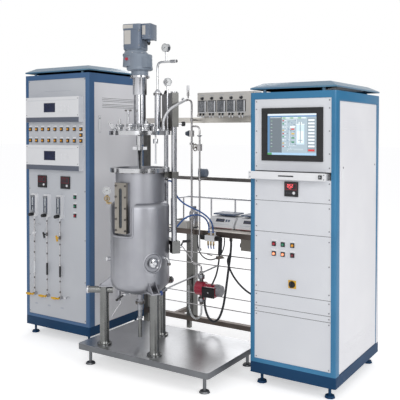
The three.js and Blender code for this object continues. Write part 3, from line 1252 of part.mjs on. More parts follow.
// A three-roller rotor that turns on the pump's shaft inside its window.
function pumpRotor(head) {
  const x = pumpHeadX(head);
  const z = pumpRotorZ();
  const back = PUMP_BANK.front + PUMP_BANK.recess - 1;
  const front = PUMP_BANK.front + 5;
  const reach = PUMP_BANK.windowWidth / 2 - 12;
  const plate = bar([x, back, z], [x, back - 5, z], reach + 5, MEDIUM);
  const hub = bar([x, back, z], [x, front + 2, z], 8, SMALL);
  const rollers = [90, 210, 330].map((angle) => {
    const [dx, dz] = polar(angle, reach - 3);
    return bar([x + dx, back - 3, z + dz], [x + dx, front, z + dz], 6, SMALL);
  });
  const shaftBore = bar([x, back + 1, z], [x, front - 1, z], runningBore(4, SMALL), SMALL);
  return cut(join(plate, hub, ...rollers), shaftBore);
}

// A bench balance: a wedge-fronted case with a raised weighing plate.
function balance(index) {
  const x0 = BALANCE.firstX + BALANCE.pitch * index;
  const x1 = x0 + BALANCE.width;
  const { front, depth, top, panTop } = BALANCE;
  const base = SHELF.top + FIT_GAP;
  const side = new THREE.Shape();
  side.moveTo(front - depth * 0.28, base + 6);
  side.lineTo(front + depth, base + 6);
  side.lineTo(front + depth, top);
  side.lineTo(front, top);
  side.lineTo(front - depth * 0.28, base + 28);
  const body = new THREE.ExtrudeGeometry(side, { depth: BALANCE.width, bevelEnabled: false })
    .applyMatrix4(new THREE.Matrix4().set(0, 0, 1, x0, 1, 0, 0, 0, 0, 1, 0, 0, 0, 0, 0, 1));
  const neck = upright((x0 + x1) / 2, front + depth / 2 + 4, top - WELD, panTop - 8, 30, SMALL);
  const pan = taperedBlock(x0 + 14, x1 - 14, front + 8, front + depth - 2, panTop - 10, panTop, 4);
  const feet = [x0 + 20, x1 - 20].flatMap((x) => [front - 20, front + depth - 20].map((y) =>
    upright(x, y, base, base + 8, 10, SMALL)));
  return join(body, neck, pan, ...feet);
}

// The air valve block on the shelf's front edge: manifold, two coils, ports above and below.
function valveBlock() {
  const { left, right, bottom, top, depth, coilLength, coilRadius } = VALVE_BLOCK;
  const back = SHELF.front - FIT_GAP;
  const middleY = back - depth / 2;
  const middleZ = (bottom + top) / 2;
  const manifold = block(left, right, back - depth, back, bottom, top);
  const plate = block(left + 10, right - 10, back - 5, back, top - WELD, SHELF.top - 4);
  const coils = [[left + WELD, left - coilLength], [right - WELD, right + coilLength]].map(([from, to]) =>
    bar([from, middleY, middleZ], [to, middleY, middleZ], coilRadius, 8));
  const { portRadius, portInset, portDrop } = VALVE_BLOCK;
  const lowerPorts = [left + portInset, (left + right) / 2, right - portInset].map((x) =>
    upright(x, middleY, bottom - portDrop, bottom + WELD, portRadius, SMALL));
  const upperPorts = [BLUE_UPPER_END, BLUE_LOWER_END].map(([x, y, z]) =>
    upright(x, y, top - WELD, z - FIT_GAP, portRadius, SMALL));
  return join(manifold, plate, ...coils, ...lowerPorts, ...upperPorts);
}

// The circulation pump: volute with its two unions, motor, end cap and terminal box.
function circulationPump() {
  const { x, y, z, voluteRadius, voluteWidth, motorRadius, motorEnd } = PUMP;
  const left = x - voluteWidth / 2;
  const volute = bar([left, y, z], [left + voluteWidth, y, z], voluteRadius, ROUND);
  const motorBody = bar([left + voluteWidth - WELD, y, z], [motorEnd - 40, y, z], motorRadius, ROUND);
  const endCap = bar([motorEnd - 42, y, z], [motorEnd, y, z], motorRadius + 3, ROUND, motorRadius - 4);
  const terminal = block(left + voluteWidth + 12, motorEnd - 28, y - motorRadius - 16, y - 20, z - 42,
    z + 26);
  const glandX = BLACK_HOSE_END[0];
  const gland = upright(glandX, BLACK_HOSE_END[1], BLACK_HOSE_END[2] + FIT_GAP, z - 40, 11, SMALL);
  const { unionTop, unionBottom, unionRadius, unionOverlap } = PUMP;
  const spans = [[z + voluteRadius - unionOverlap, unionTop], [unionBottom, z - voluteRadius + unionOverlap]];
  const unions = spans.map(([low, high]) => join(
    upright(x, y, low, high, unionRadius, SMALL),
    upright(x, y, (low + high) / 2 - 10, (low + high) / 2 + 12, unionRadius + 10, 8),
  ));
  return join(volute, motorBody, endCap, terminal, gland, ...unions);
}

// The process pipe: riser, top run, branch, relief valve, valve bodies and clamps to the rack.
function processPipe() {
  const { y, ax, bx, radius, bendZ, branchZ, elbowZ, bBottom, endY, bend, reliefTop } = PROCESS_PIPE;
  const { valveZ, valveHalf, handwheelZ, wheelHalf, clampBottom, clampTop, lowBracketZ,
    highBracketZ } = PROCESS_PIPE;
  const riser = pipe([[ax, endY, bendZ], [ax, y, bendZ], [ax, y, elbowZ], [PUMP.x, y, elbowZ],
    [PUMP.x, y, PUMP.unionTop + FIT_GAP]], radius, bend);
  const branch = pipe([[ax, y, branchZ], [bx, y, branchZ], [bx, y, bBottom]], radius, bend);
  const endCollar = bar([ax, endY, bendZ], [ax, endY + 12, bendZ], radius + 5, SMALL);
  const capB = upright(bx, y, bBottom, bBottom + 14, radius + 7, SMALL);
  const relief = join(upright(ax, endY + 30, bendZ - 4, reliefTop - 40, 6, SMALL),
    upright(ax, endY + 30, bendZ + 30, reliefTop, 10, SMALL, 7));
  const diaphragmBody = block(ax - valveHalf, ax + valveHalf, y - 14, y + 14, valveZ - 22, valveZ + 22);
  const wheelBody = block(bx - wheelHalf, bx + wheelHalf, y - wheelHalf, y + wheelHalf, handwheelZ - 24,
    handwheelZ + 24);
  const clampA = upright(ax, y, clampBottom, clampTop, radius + 8, SMALL);
  const brackets = [[ax, lowBracketZ], [bx, lowBracketZ], [ax, highBracketZ]].map(([x, z]) => {
    const depth = z > RACK.midTop ? RACK.front : RACK.front + (RACK.tube - RACK.midTube) / 2;
    return join(block(x - 5, x + 5, y, depth - FIT_GAP, z - 6, z + 6),
      upright(x, y, z - 9, z + 9, radius + 4, SMALL));
  });
  return join(riser, branch, endCollar, capB, relief, diaphragmBody, wheelBody, clampA, ...brackets);
}

function diaphragmKnob() {
  const { ax, y, valveZ, valveHalf } = PROCESS_PIPE;
  const start = ax - valveHalf - FIT_GAP;
  const stem = bar([start, y, valveZ], [start - 10, y, valveZ], 9, SMALL);
  const cap = bar([start - 8, y, valveZ], [start - 36, y, valveZ], 24, MEDIUM, 14);
  return join(stem, cap);
}

// A spoked handwheel: a rim, a hub and three spokes about an axis along x.
function handwheel() {
  const { bx, y, handwheelZ, wheelHalf } = PROCESS_PIPE;
  const start = bx - wheelHalf - FIT_GAP;
  const rimX = start - 24;
  const rimRadius = 25;
  const rim = revolve([...Array(6)].map((_, i) => {
    const angle = -(i / 6) * Math.PI * 2;
    return [rimRadius + 4 * Math.cos(angle), -4 * Math.sin(angle)];
  }).concat([[rimRadius + 4, 0]]), MEDIUM).rotateY(Math.PI / 2).translate(rimX, y, handwheelZ);
  const hub = bar([start, y, handwheelZ], [rimX - 5, y, handwheelZ], 6, SMALL);
  const spokes = [90, 210, 330].map((angle) => {
    const [dy, dz] = polar(angle, rimRadius);
    return bar([rimX, y, handwheelZ], [rimX, y + dy, handwheelZ + dz], 2.6, SMALL);
  });
  return join(rim, hub, ...spokes);
}

// ---- Hoses: hand-chosen routes, square to the fittings at both ends ------------------------

const BLUE_UPPER_END = [162, 194, 812.3];
const BLUE_LOWER_END = [128, 194, 812.3];
const BLACK_HOSE_START = [285, 235, 760];
const BLACK_HOSE_END = [116, 158, 344];

const BLUE_UPPER_ROUTE = [[68.9, -225.9, 1203], [82.8, -211.5, 1203], [91, -190, 1176], [82, -160, 1130],
  [80, -122, 1085], [96, -72, 1042], [124, -18, 1010], [152, 38, 980], [172, 95, 942], [177, 145, 900],
  [168, 180, 860], [162, 194, 832], BLUE_UPPER_END];
const BLUE_LOWER_ROUTE = [[62.8, -179.9, 872], [71.8, -166.7, 872], [80, -135, 892], [86, -95, 920],
  [96, -50, 944], [110, 0, 956], [124, 55, 954], [135, 105, 936], [138, 150, 905], [133, 182, 865],
  [128, 194, 834], BLUE_LOWER_END];
const BLACK_ROUTE = [BLACK_HOSE_START, [285, 235, 730], [286, 222, 660], [288, 196, 580], [286, 176, 490],
  [281, 160, 400], [268, 150, 310], [238, 146, 235], [200, 147, 205], [160, 150, 218], [129, 155, 262],
  [116, 158, 312], BLACK_HOSE_END];
const PUMP_ROUTE = [[PUMP.x, PUMP.y, 299.7], [PUMP.x, PUMP.y, 268], [60, 196, 222], [32, 207, 190],
  [-6, 222, 178], [-44, 236, 192], [-70, 246, 232], [-80, 250, 290], [-81, 250, 360], [-81, 250, 404.7]];
const EXHAUST_ROUTE = [[120, -343, 1561.6], [120, -343, 1590], [134, -338, 1630], [158, -322, 1668],
  [183, -290, 1696], [194, -245, 1716], [180, -190, 1730], [142, -130, 1740], [94, -66, 1746],
  [46, -4, 1750], [4, 48, 1751], [-14, 88, 1751], [-14, 111.7, 1751]];

function rack() {
  const group = new THREE.Group();
  addPiece(group, 'rack_frame', rackFrame(), FINISH.steel);
  addPiece(group, 'shelf', shelf(), FINISH.steel);
  addPiece(group, 'shelf_rail', shelfRail(), FINISH.steel);
  addPiece(group, 'pump_bank', pumpBank(), FINISH.panelGrey);
  for (let head = 0; head < PUMP_BANK.heads; head++) {
    addPiece(group, `pump_rotor_${head + 1}`, pumpRotor(head), FINISH.white);
  }
  addPiece(group, 'balance_1', balance(0), FINISH.white);
  addPiece(group, 'balance_2', balance(1), FINISH.white);
  addPiece(group, 'valve_block', valveBlock(), FINISH.white);
  addPiece(group, 'circulation_pump', circulationPump(), FINISH.fieldRed);
  addPiece(group, 'process_pipe', processPipe(), FINISH.steel);
  addPiece(group, 'handwheel', handwheel(), FINISH.black);
  addPiece(group, 'diaphragm_valve_knob', diaphragmKnob(), FINISH.black);
  addPiece(group, 'blue_hose_upper', hose(BLUE_UPPER_ROUTE, HOSE_RADIUS.blue), FINISH.blueHose);
  addPiece(group, 'blue_hose_lower', hose(BLUE_LOWER_ROUTE, HOSE_RADIUS.blue), FINISH.blueHose);
  addPiece(group, 'black_hose', hose(BLACK_ROUTE, HOSE_RADIUS.black), FINISH.blackHose);
  addPiece(group, 'pump_hose', hose(PUMP_ROUTE, HOSE_RADIUS.pump), FINISH.clearHose);
  addPiece(group, 'exhaust_hose', hose(EXHAUST_ROUTE, HOSE_RADIUS.exhaust), FINISH.braid);
  return group;
}

const system = new THREE.Group();
system.add(gasCabinet(), controlCabinet(), skid(), rack());

export default system;
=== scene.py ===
# %% [markdown]
# # A pilot bioreactor system
# The object stands on a floor in three groups. On the left is a gas cabinet with analysers,
# flow meters and small valves. In the middle a jacketed steel vessel stands on a platform,
# with its lid and stirrer drive raised on a lift, and a tube rack of pumps and balances
# behind it. On the right is the control cabinet with a panel computer.
# The solid parts come from the CAD frame, already in place and in metres. This script gives
# them real finishes and adds what is too fine for the CAD model: screws, lamps, gauges,
# fittings, tubes and what the screen shows.

# %% Load the frame
import json
import math

import bmesh
import bpy
from mathutils import Matrix, Vector
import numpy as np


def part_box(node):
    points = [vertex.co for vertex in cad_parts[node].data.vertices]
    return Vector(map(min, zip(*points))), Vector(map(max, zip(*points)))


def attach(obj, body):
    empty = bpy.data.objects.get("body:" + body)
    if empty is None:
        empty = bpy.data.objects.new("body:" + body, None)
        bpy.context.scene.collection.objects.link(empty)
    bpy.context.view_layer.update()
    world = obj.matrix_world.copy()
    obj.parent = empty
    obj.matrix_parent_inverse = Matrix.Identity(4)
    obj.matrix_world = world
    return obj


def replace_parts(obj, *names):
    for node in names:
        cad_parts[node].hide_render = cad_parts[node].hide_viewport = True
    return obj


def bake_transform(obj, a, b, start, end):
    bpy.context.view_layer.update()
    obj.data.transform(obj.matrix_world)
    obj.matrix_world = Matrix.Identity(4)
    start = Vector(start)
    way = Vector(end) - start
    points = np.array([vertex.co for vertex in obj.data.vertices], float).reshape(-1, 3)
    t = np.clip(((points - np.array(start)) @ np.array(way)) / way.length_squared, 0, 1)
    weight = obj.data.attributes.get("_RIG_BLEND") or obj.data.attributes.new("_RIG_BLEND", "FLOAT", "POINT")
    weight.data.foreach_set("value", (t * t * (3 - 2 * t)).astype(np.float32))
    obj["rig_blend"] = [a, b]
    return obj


RIGHT, FORWARD, BACKWARD, UP, DOWN = (1, 0, 0), (0, -1, 0), (0, 1, 0), (0, 0, 1), (0, 0, -1)


def above(height):
    """A step straight up, to add to a point."""
    return Vector((0, 0, height))


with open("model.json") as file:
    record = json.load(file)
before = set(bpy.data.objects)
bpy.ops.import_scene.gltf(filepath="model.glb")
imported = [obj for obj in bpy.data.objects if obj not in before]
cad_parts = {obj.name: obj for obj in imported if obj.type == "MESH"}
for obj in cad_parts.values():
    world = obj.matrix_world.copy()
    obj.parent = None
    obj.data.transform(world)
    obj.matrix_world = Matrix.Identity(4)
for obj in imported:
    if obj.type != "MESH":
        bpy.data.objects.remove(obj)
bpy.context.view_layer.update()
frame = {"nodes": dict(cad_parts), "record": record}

# %% [markdown]
# ## Camera
# A short telephoto lens at eye height looks at the right-hand corner of the system, so both
# cabinets show their front and their right side. The camera is almost level and the frame is
# shifted down, which keeps upright edges upright, as an architect's camera does.

# %% Set up the camera
YAW, PITCH = 0.5715, math.radians(-1.005)
looking = Vector((-math.sin(YAW) * math.cos(PITCH), math.cos(YAW) * math.cos(PITCH), math.sin(PITCH)))
camera_data = bpy.data.cameras.new("camera")
camera = bpy.data.objects.new("camera", camera_data)
bpy.context.scene.collection.objects.link(camera)
camera.location = (2.5406, -3.7133, 1.5262)
camera.rotation_euler = looking.to_track_quat("-Z", "Y").to_euler()
camera_data.lens, camera_data.sensor_width = 58.67, 36
camera_data.shift_x, camera_data.shift_y = 0.0076, -0.1422
bpy.context.scene.camera = camera
print("camera looks along", tuple(round(x, 3) for x in looking))

# %% [markdown]
# ## Tools for materials
# Colours are written as the hex values that a designer would pick on a screen. Blender mixes
# light in linear values, so one function turns them. One more function adds a node to a
# material or a geometry tree, sets it up and links its inputs, which keeps each recipe short.

# %% Colour and node helpers
def in_scene(name, data):
    """A new object in the scene, round the data it shows."""
    thing = bpy.data.objects.new(name, data)
    bpy.context.scene.collection.objects.link(thing)
    return thing


def linear(hex_colour):
    """An sRGB hex colour as the linear values that the nodes use."""
    parts = [int(hex_colour[i:i + 2], 16) / 255 for i in (1, 3, 5)]
    return (*[x / 12.92 if x <= 0.04045 else ((x + 0.055) / 1.055) ** 2.4 for x in parts], 1)


def add(tree, kind, inputs=None, **settings):
    """Adds a node. An input takes a plain value, or another node's output to link."""
    node = tree.nodes.new(kind)
    for key, value in settings.items():
        setattr(node, key, value)
    for key, value in (inputs or {}).items():
        if isinstance(value, bpy.types.NodeSocket):
            tree.links.new(value, node.inputs[key])
        else:
            node.inputs[key].default_value = value
    return node


def maths(tree, operation, *values):
    """One sum on plain values or on outputs of other nodes."""
    return add(tree, "ShaderNodeMath", dict(enumerate(values)), operation=operation).outputs[0]


def new_material(name, **surface):
    """A material with one Principled surface. Returns it, its tree, its surface and its coordinates."""
    material = bpy.data.materials.new(name)
    material.use_nodes = True
    tree = material.node_tree
    tree.nodes.clear()
    shader = add(tree, "ShaderNodeBsdfPrincipled")
    add(tree, "ShaderNodeOutputMaterial", {"Surface": shader.outputs[0]})
    for key, value in surface.items():
        shader.inputs[key.replace("_", " ")].default_value = value
    place = add(tree, "ShaderNodeTexCoord").outputs["Object"]
    return material, tree, shader, place


def noise(tree, place, size_mm, detail=3.0, stretch=(1, 1, 1)):
    """Cloudy noise whose features are about size_mm across, longer along a stretched axis."""
    placed = add(tree, "ShaderNodeMapping", {"Vector": place, "Scale": tuple(1 / s for s in stretch)})
    return add(tree, "ShaderNodeTexNoise", {"Vector": placed.outputs[0], "Scale": 1000 / size_mm,
        "Detail": detail}).outputs["Fac"]


def spread(tree, value, low, high, start=0.3, end=0.7):
    """Maps the useful middle of a noise onto a range."""
    return add(tree, "ShaderNodeMapRange", {"Value": value, "From Min": start, "From Max": end,
        "To Min": low, "To Max": high}).outputs[0]


def tint(tree, value, first, second, start=0.3, end=0.7):
    """Two hex colours mixed by a noise."""
    share = spread(tree, value, 0.0, 1.0, start, end)
    mixed = add(tree, "ShaderNodeMix", {0: share, 6: linear(first), 7: linear(second)}, data_type="RGBA")
    return mixed.outputs[2]


def bump(tree, shader, height, depth_mm, strength=1.0):
    """Fine relief of a real depth in millimetres."""
    node = add(tree, "ShaderNodeBump", {"Height": height, "Distance": depth_mm / 1000,
        "Strength": strength})
    tree.links.new(node.outputs[0], shader.inputs["Normal"])


# %% [markdown]
# ## Finishes
# Most of the system is painted sheet steel and stainless steel. Powder coat is melted onto
# the sheet, which leaves a faint orange peel a millimetre or two across. Stainless comes in
# four finishes here: brushed bar and sheet, polished tube and flanges, the bead-blasted
# vessel, whose glass beads leave an even satin, and braid on the hoses.

# %% Painted steel
PEEL_MM, PEEL_DEPTH_MM = 2.2, 0.05


def powder_coat(name, colour, second, roughness, shine=0.45):
    material, tree, shader, place = new_material(name, IOR=1.5, Specular_IOR_Level=shine)
    clouds = noise(tree, place, 340, 2)
    tree.links.new(tint(tree, clouds, colour, second), shader.inputs["Base Color"])
    peel = noise(tree, place, PEEL_MM, 2)
    tree.links.new(spread(tree, peel, roughness - 0.05, roughness + 0.06), shader.inputs["Roughness"])
    bump(tree, shader, peel, PEEL_DEPTH_MM, 0.6)
    return material


blue_left = powder_coat("blue powder coat, gas cabinet", "#3A608A", "#426892", 0.36)
blue_right = powder_coat("blue powder coat, control cabinet", "#2E7099", "#377CA6", 0.36)
blue_lid = powder_coat("blue-grey powder coat on the lids", "#47708F", "#55809A", 0.3)
# The plinths' blue is darkened with painted shade, for the shade near the floor.
plinth_shaded_blue = powder_coat("dark blue powder coat on the plinths", "#17395A", "#1E4366", 0.5, shine=0.12)
side_white = powder_coat("light grey powder coat on side panels", "#E6E6EA", "#ECECEF", 0.42)
front_grey = powder_coat("light grey powder coat on front plates", "#DADCE1", "#E1E3E7", 0.45)
# The gas cabinet's front is the front plates' grey darkened with painted shade, as less light falls on it.
gas_front_shaded_grey = powder_coat("grey powder coat on the gas cabinet front", "#C2C5CB", "#CBCED3", 0.45)
case_white = powder_coat("white powder coat on instrument cases", "#E6E7EA", "#ECEDEF", 0.4)
# Slate grey also paints the shade in the gap round the side-panel latches.
slate_grey = powder_coat("slate powder coat, and painted shade round the latches", "#5C6270", "#646A78", 0.42)
box_brown = powder_coat("brown-grey enamel on the junction box", "#77736B", "#827E76", 0.4)
bare_plate = powder_coat("pale enamel on blank plates", "#BDBAB5", "#C7C4BF", 0.42)
pump_grey = powder_coat("warm grey powder coat on the pump bank", "#C6C3BD", "#CFCCC7", 0.4)
print("painted finishes made")

# %% [markdown]
# Machine paint on the motor and the gear case is thicker than powder coat and shows the cast
# surface under it: a shallow sand texture a few millimetres wide. The pump's red enamel lies
# on a casting too, and is glossier.

# %% Cast and enamelled parts
def cast_enamel(name, colour, second, roughness, grain_mm=4.5, coat=0.15):
    material, tree, shader, place = new_material(name, IOR=1.5, Coat_Weight=coat, Coat_Roughness=0.25)
    sand = noise(tree, place, grain_mm, 4)
    clouds = noise(tree, place, 90, 2)
    tree.links.new(tint(tree, clouds, colour, second), shader.inputs["Base Color"])
    tree.links.new(spread(tree, sand, roughness - 0.06, roughness + 0.08), shader.inputs["Roughness"])
    bump(tree, shader, sand, 0.25, 0.5)
    return material


machine_grey = cast_enamel("grey-blue machine enamel", "#5F6B7C", "#697587", 0.42)
gear_grey = cast_enamel("light grey-blue machine enamel", "#7A8593", "#858F9C", 0.42)
dark_machine_grey = cast_enamel("dark grey-blue machine enamel", "#4B5663", "#55616F", 0.45)
pump_red = cast_enamel("red enamel on cast iron", "#A5203A", "#B52A45", 0.3, 3.5, 0.4)
cap_grey = cast_enamel("grey enamel on the pump's end cap", "#8E8F94", "#9A9BA0", 0.35, 3.5, 0.3)
print("cast finishes made")

# %% Stainless steel finishes
def stainless(name, colour, second, roughness, grain=None, relief_mm=0.01, grit_mm=0.9):
    """grain stretches the brush lines along an axis, and None leaves an even blasted surface."""
    material, tree, shader, place = new_material(name, Metallic=1.0)
    size, stretch = (0.8, grain) if grain else (grit_mm, (1, 1, 1))
    lines = noise(tree, place, size, 1, stretch)
    clouds = noise(tree, place, 120, 2)
    tree.links.new(tint(tree, clouds, colour, second), shader.inputs["Base Color"])
    tree.links.new(spread(tree, lines, roughness - 0.03, roughness + 0.05), shader.inputs["Roughness"])
    bump(tree, shader, lines, relief_mm, 0.35)
    return material


ALONG_X, ALONG_Z = (60, 1, 1), (1, 1, 60)
polished_steel = stainless("polished stainless steel", "#C2C3C6", "#CBCCCE", 0.16, (6, 6, 6), 0.001)
tube_steel = stainless("bright drawn stainless tube", "#B4B5B9", "#BEBFC3", 0.2, ALONG_Z, 0.002)
leg_steel = stainless("dull drawn stainless tube", "#6F706F", "#7B7C7B", 0.24, ALONG_Z, 0.002)
pipe_steel = stainless("satin stainless pipe", "#B5B3B4", "#C0BEBF", 0.24, (8, 8, 8), 0.001)
brushed_plate = stainless("brushed stainless plate", "#B6B7BA", "#BFC0C3", 0.3, ALONG_X, 0.004)
# The folded edge is the plate's steel darkened with painted shade on its upright faces.
shaded_folded_edge = stainless("brushed stainless folded edge, darkened with painted shade", "#6A6C6F", "#747679", 0.4, ALONG_X, 0.006)
brushed_post = stainless("brushed stainless posts", "#5E5E5C", "#6A6A68", 0.3, ALONG_Z, 0.004)
brushed_beam = stainless("brushed stainless beams", "#CFCBC3", "#D8D4CD", 0.36, ALONG_X, 0.006)
brown_beam = stainless("dull brown-grey steel beam", "#5E5652", "#6A625D", 0.4, ALONG_X, 0.006)
blasted_steel = stainless("bead-blasted stainless steel", "#98999F", "#A1A2A7", 0.43, None, 0.05, 1.3)
glass_frame_steel = stainless("machined stainless sight-glass frame", "#98938B", "#A39E96", 0.36, ALONG_Z,
    0.004)
dark_steel = stainless("dark worn steel", "#625F5E", "#706D6B", 0.38, ALONG_X, 0.006)
fastener_steel = stainless("zinc-plated fasteners", "#8F9196", "#9C9EA2", 0.32, (3, 3, 3), 0.004)
brass = stainless("turned brass", "#9D8A67", "#AB9876", 0.3, (4, 4, 4), 0.003)
print("metals made")

# %% [markdown]
# Plastics are plain colours with a faint moulded grain. Rubber is duller and has a little
# bloom, a pale dust that gathers on it. Clear tubes let light through.

# %% Plastics and rubber
def moulded(name, colour, second, roughness=0.4, grain_mm=0.9, coat=0.0):
    material, tree, shader, place = new_material(name, IOR=1.46, Coat_Weight=coat, Coat_Roughness=0.1)
    grain = noise(tree, place, grain_mm, 2)
    tree.links.new(tint(tree, noise(tree, place, 25, 2), colour, second), shader.inputs["Base Color"])
    tree.links.new(spread(tree, grain, roughness - 0.05, roughness + 0.07), shader.inputs["Roughness"])
    bump(tree, shader, grain, 0.03, 0.5)
    return material


black_plastic = moulded("black ABS", "#141517", "#1C1D20", 0.42)
dark_plastic = moulded("dark grey ABS", "#3A3C42", "#44464C", 0.42)
white_plastic = moulded("white nylon", "#E4E5E8", "#EDEEF0", 0.4)
yellow_plastic = moulded("yellow polyamide", "#D9A520", "#E3B22C", 0.36)
orange_lens = moulded("amber lens", "#E0951A", "#EBA52A", 0.2, 3, 0.5)
green_lens = moulded("green lens", "#13734F", "#1A8460", 0.2, 3, 0.5)
red_lens = moulded("red lens", "#A5142B", "#B51D36", 0.2, 3, 0.5)
dark_red_lens = moulded("unlit red lens", "#6E1526", "#7C1B2D", 0.2, 3, 0.5)
red_plastic = moulded("red plastic plug", "#B3283A", "#C03245", 0.35)
grey_plastic = moulded("blue-grey ABS pan", "#4E5C74", "#5A6880", 0.35)
blue_tube = moulded("blue polyurethane tube", "#2F5C9E", "#386AAE", 0.3, 2, 0.2)
black_rubber = moulded("black rubber hose", "#202226", "#2E3035", 0.55, 0.7)
wheel_brown = moulded("brown-grey phenolic handwheel", "#6A625B", "#756D66", 0.42)
blue_cap = moulded("blue plastic cap", "#2B4C92", "#3558A0", 0.35)
print("plastics made")


def see_through(name, colour, roughness, ior, weight):
    material, tree, shader, place = new_material(name, IOR=ior, Transmission_Weight=weight)
    tree.links.new(tint(tree, noise(tree, place, 40, 2), colour, "#FFFFFF", 0.0, 1.4),
        shader.inputs["Base Color"])
    tree.links.new(spread(tree, noise(tree, place, 6, 2), roughness, roughness + 0.05),
        shader.inputs["Roughness"])
    return material


gauge_glass = see_through("gauge glass", "#F2F6F8", 0.02, 1.5, 1.0)
# A matt dark fill painted with the shade of the vessel's inside, seen through the sight glass.
sight_glass_shade = moulded("painted shade behind the sight glass", "#34393F", "#454B52", 0.55, grain_mm=18)
smoke_cover = see_through("smoked acrylic cover", "#8E949E", 0.04, 1.49, 0.7)
silicone_tube = see_through("translucent silicone tube", "#D9DCDE", 0.25, 1.41, 0.55)
print("clear finishes made")

# %% [markdown]
# ## Tools for shapes
# Fittings are built up like real ones, from turned, bent and milled forms. The Workpiece
# class below collects such forms in one mesh, each with its own finish. At the end it gives
# every sharp edge a small round, because a real edge is never perfectly sharp and the round
# is what catches the light.

# %% Paths for tubes
def bent_path(corners, bend, steps=6):
    """Straight runs joined by round bends, as a tube bender makes them."""
    corners = [Vector(c) for c in corners]
    path = [corners[0]]
    for before, corner, after in zip(corners, corners[1:], corners[2:]):
        u, v = (before - corner).normalized(), (after - corner).normalized()
        half = u.angle(v) / 2
        cut = min(bend / math.tan(half), 0.48 * (before - corner).length, 0.48 * (after - corner).length)
        start, end = corner + u * cut, corner + v * cut
        for i in range(steps + 1):
            t = i / steps
            path.append((1 - t) ** 2 * start + 2 * t * (1 - t) * corner + t * t * end)
    return [*path, corners[-1]]


def flowing_path(points, step):
    """One smooth curve through all the points, as a hose takes, cut into short steps."""
    points = [Vector(p) for p in points]
    ends = [2 * points[0] - points[1], *points, 2 * points[-1] - points[-2]]
    path = [points[0]]
    for a, b, c, d in zip(ends, ends[1:], ends[2:], ends[3:]):
        count = max(2, round((c - b).length / step))
        knots = [0.0]
        for p, q in ((a, b), (b, c), (c, d)):
            knots.append(knots[-1] + max((q - p).length, 1e-6) ** 0.5)
        k0, k1, k2, k3 = knots
        for i in range(1, count + 1):
            t = k1 + (k2 - k1) * i / count
            ab = (k1 - t) / (k1 - k0) * a + (t - k0) / (k1 - k0) * b
            bc = (k2 - t) / (k2 - k1) * b + (t - k1) / (k2 - k1) * c
            cd = (k3 - t) / (k3 - k2) * c + (t - k2) / (k3 - k2) * d
            abc = (k2 - t) / (k2 - k0) * ab + (t - k0) / (k2 - k0) * bc
            bcd = (k3 - t) / (k3 - k1) * bc + (t - k1) / (k3 - k1) * cd
            path.append((k2 - t) / (k2 - k1) * abc + (t - k1) / (k2 - k1) * bcd)
    return path


def path_length(path):
    return sum((b - a).length for a, b in zip(path, path[1:]))


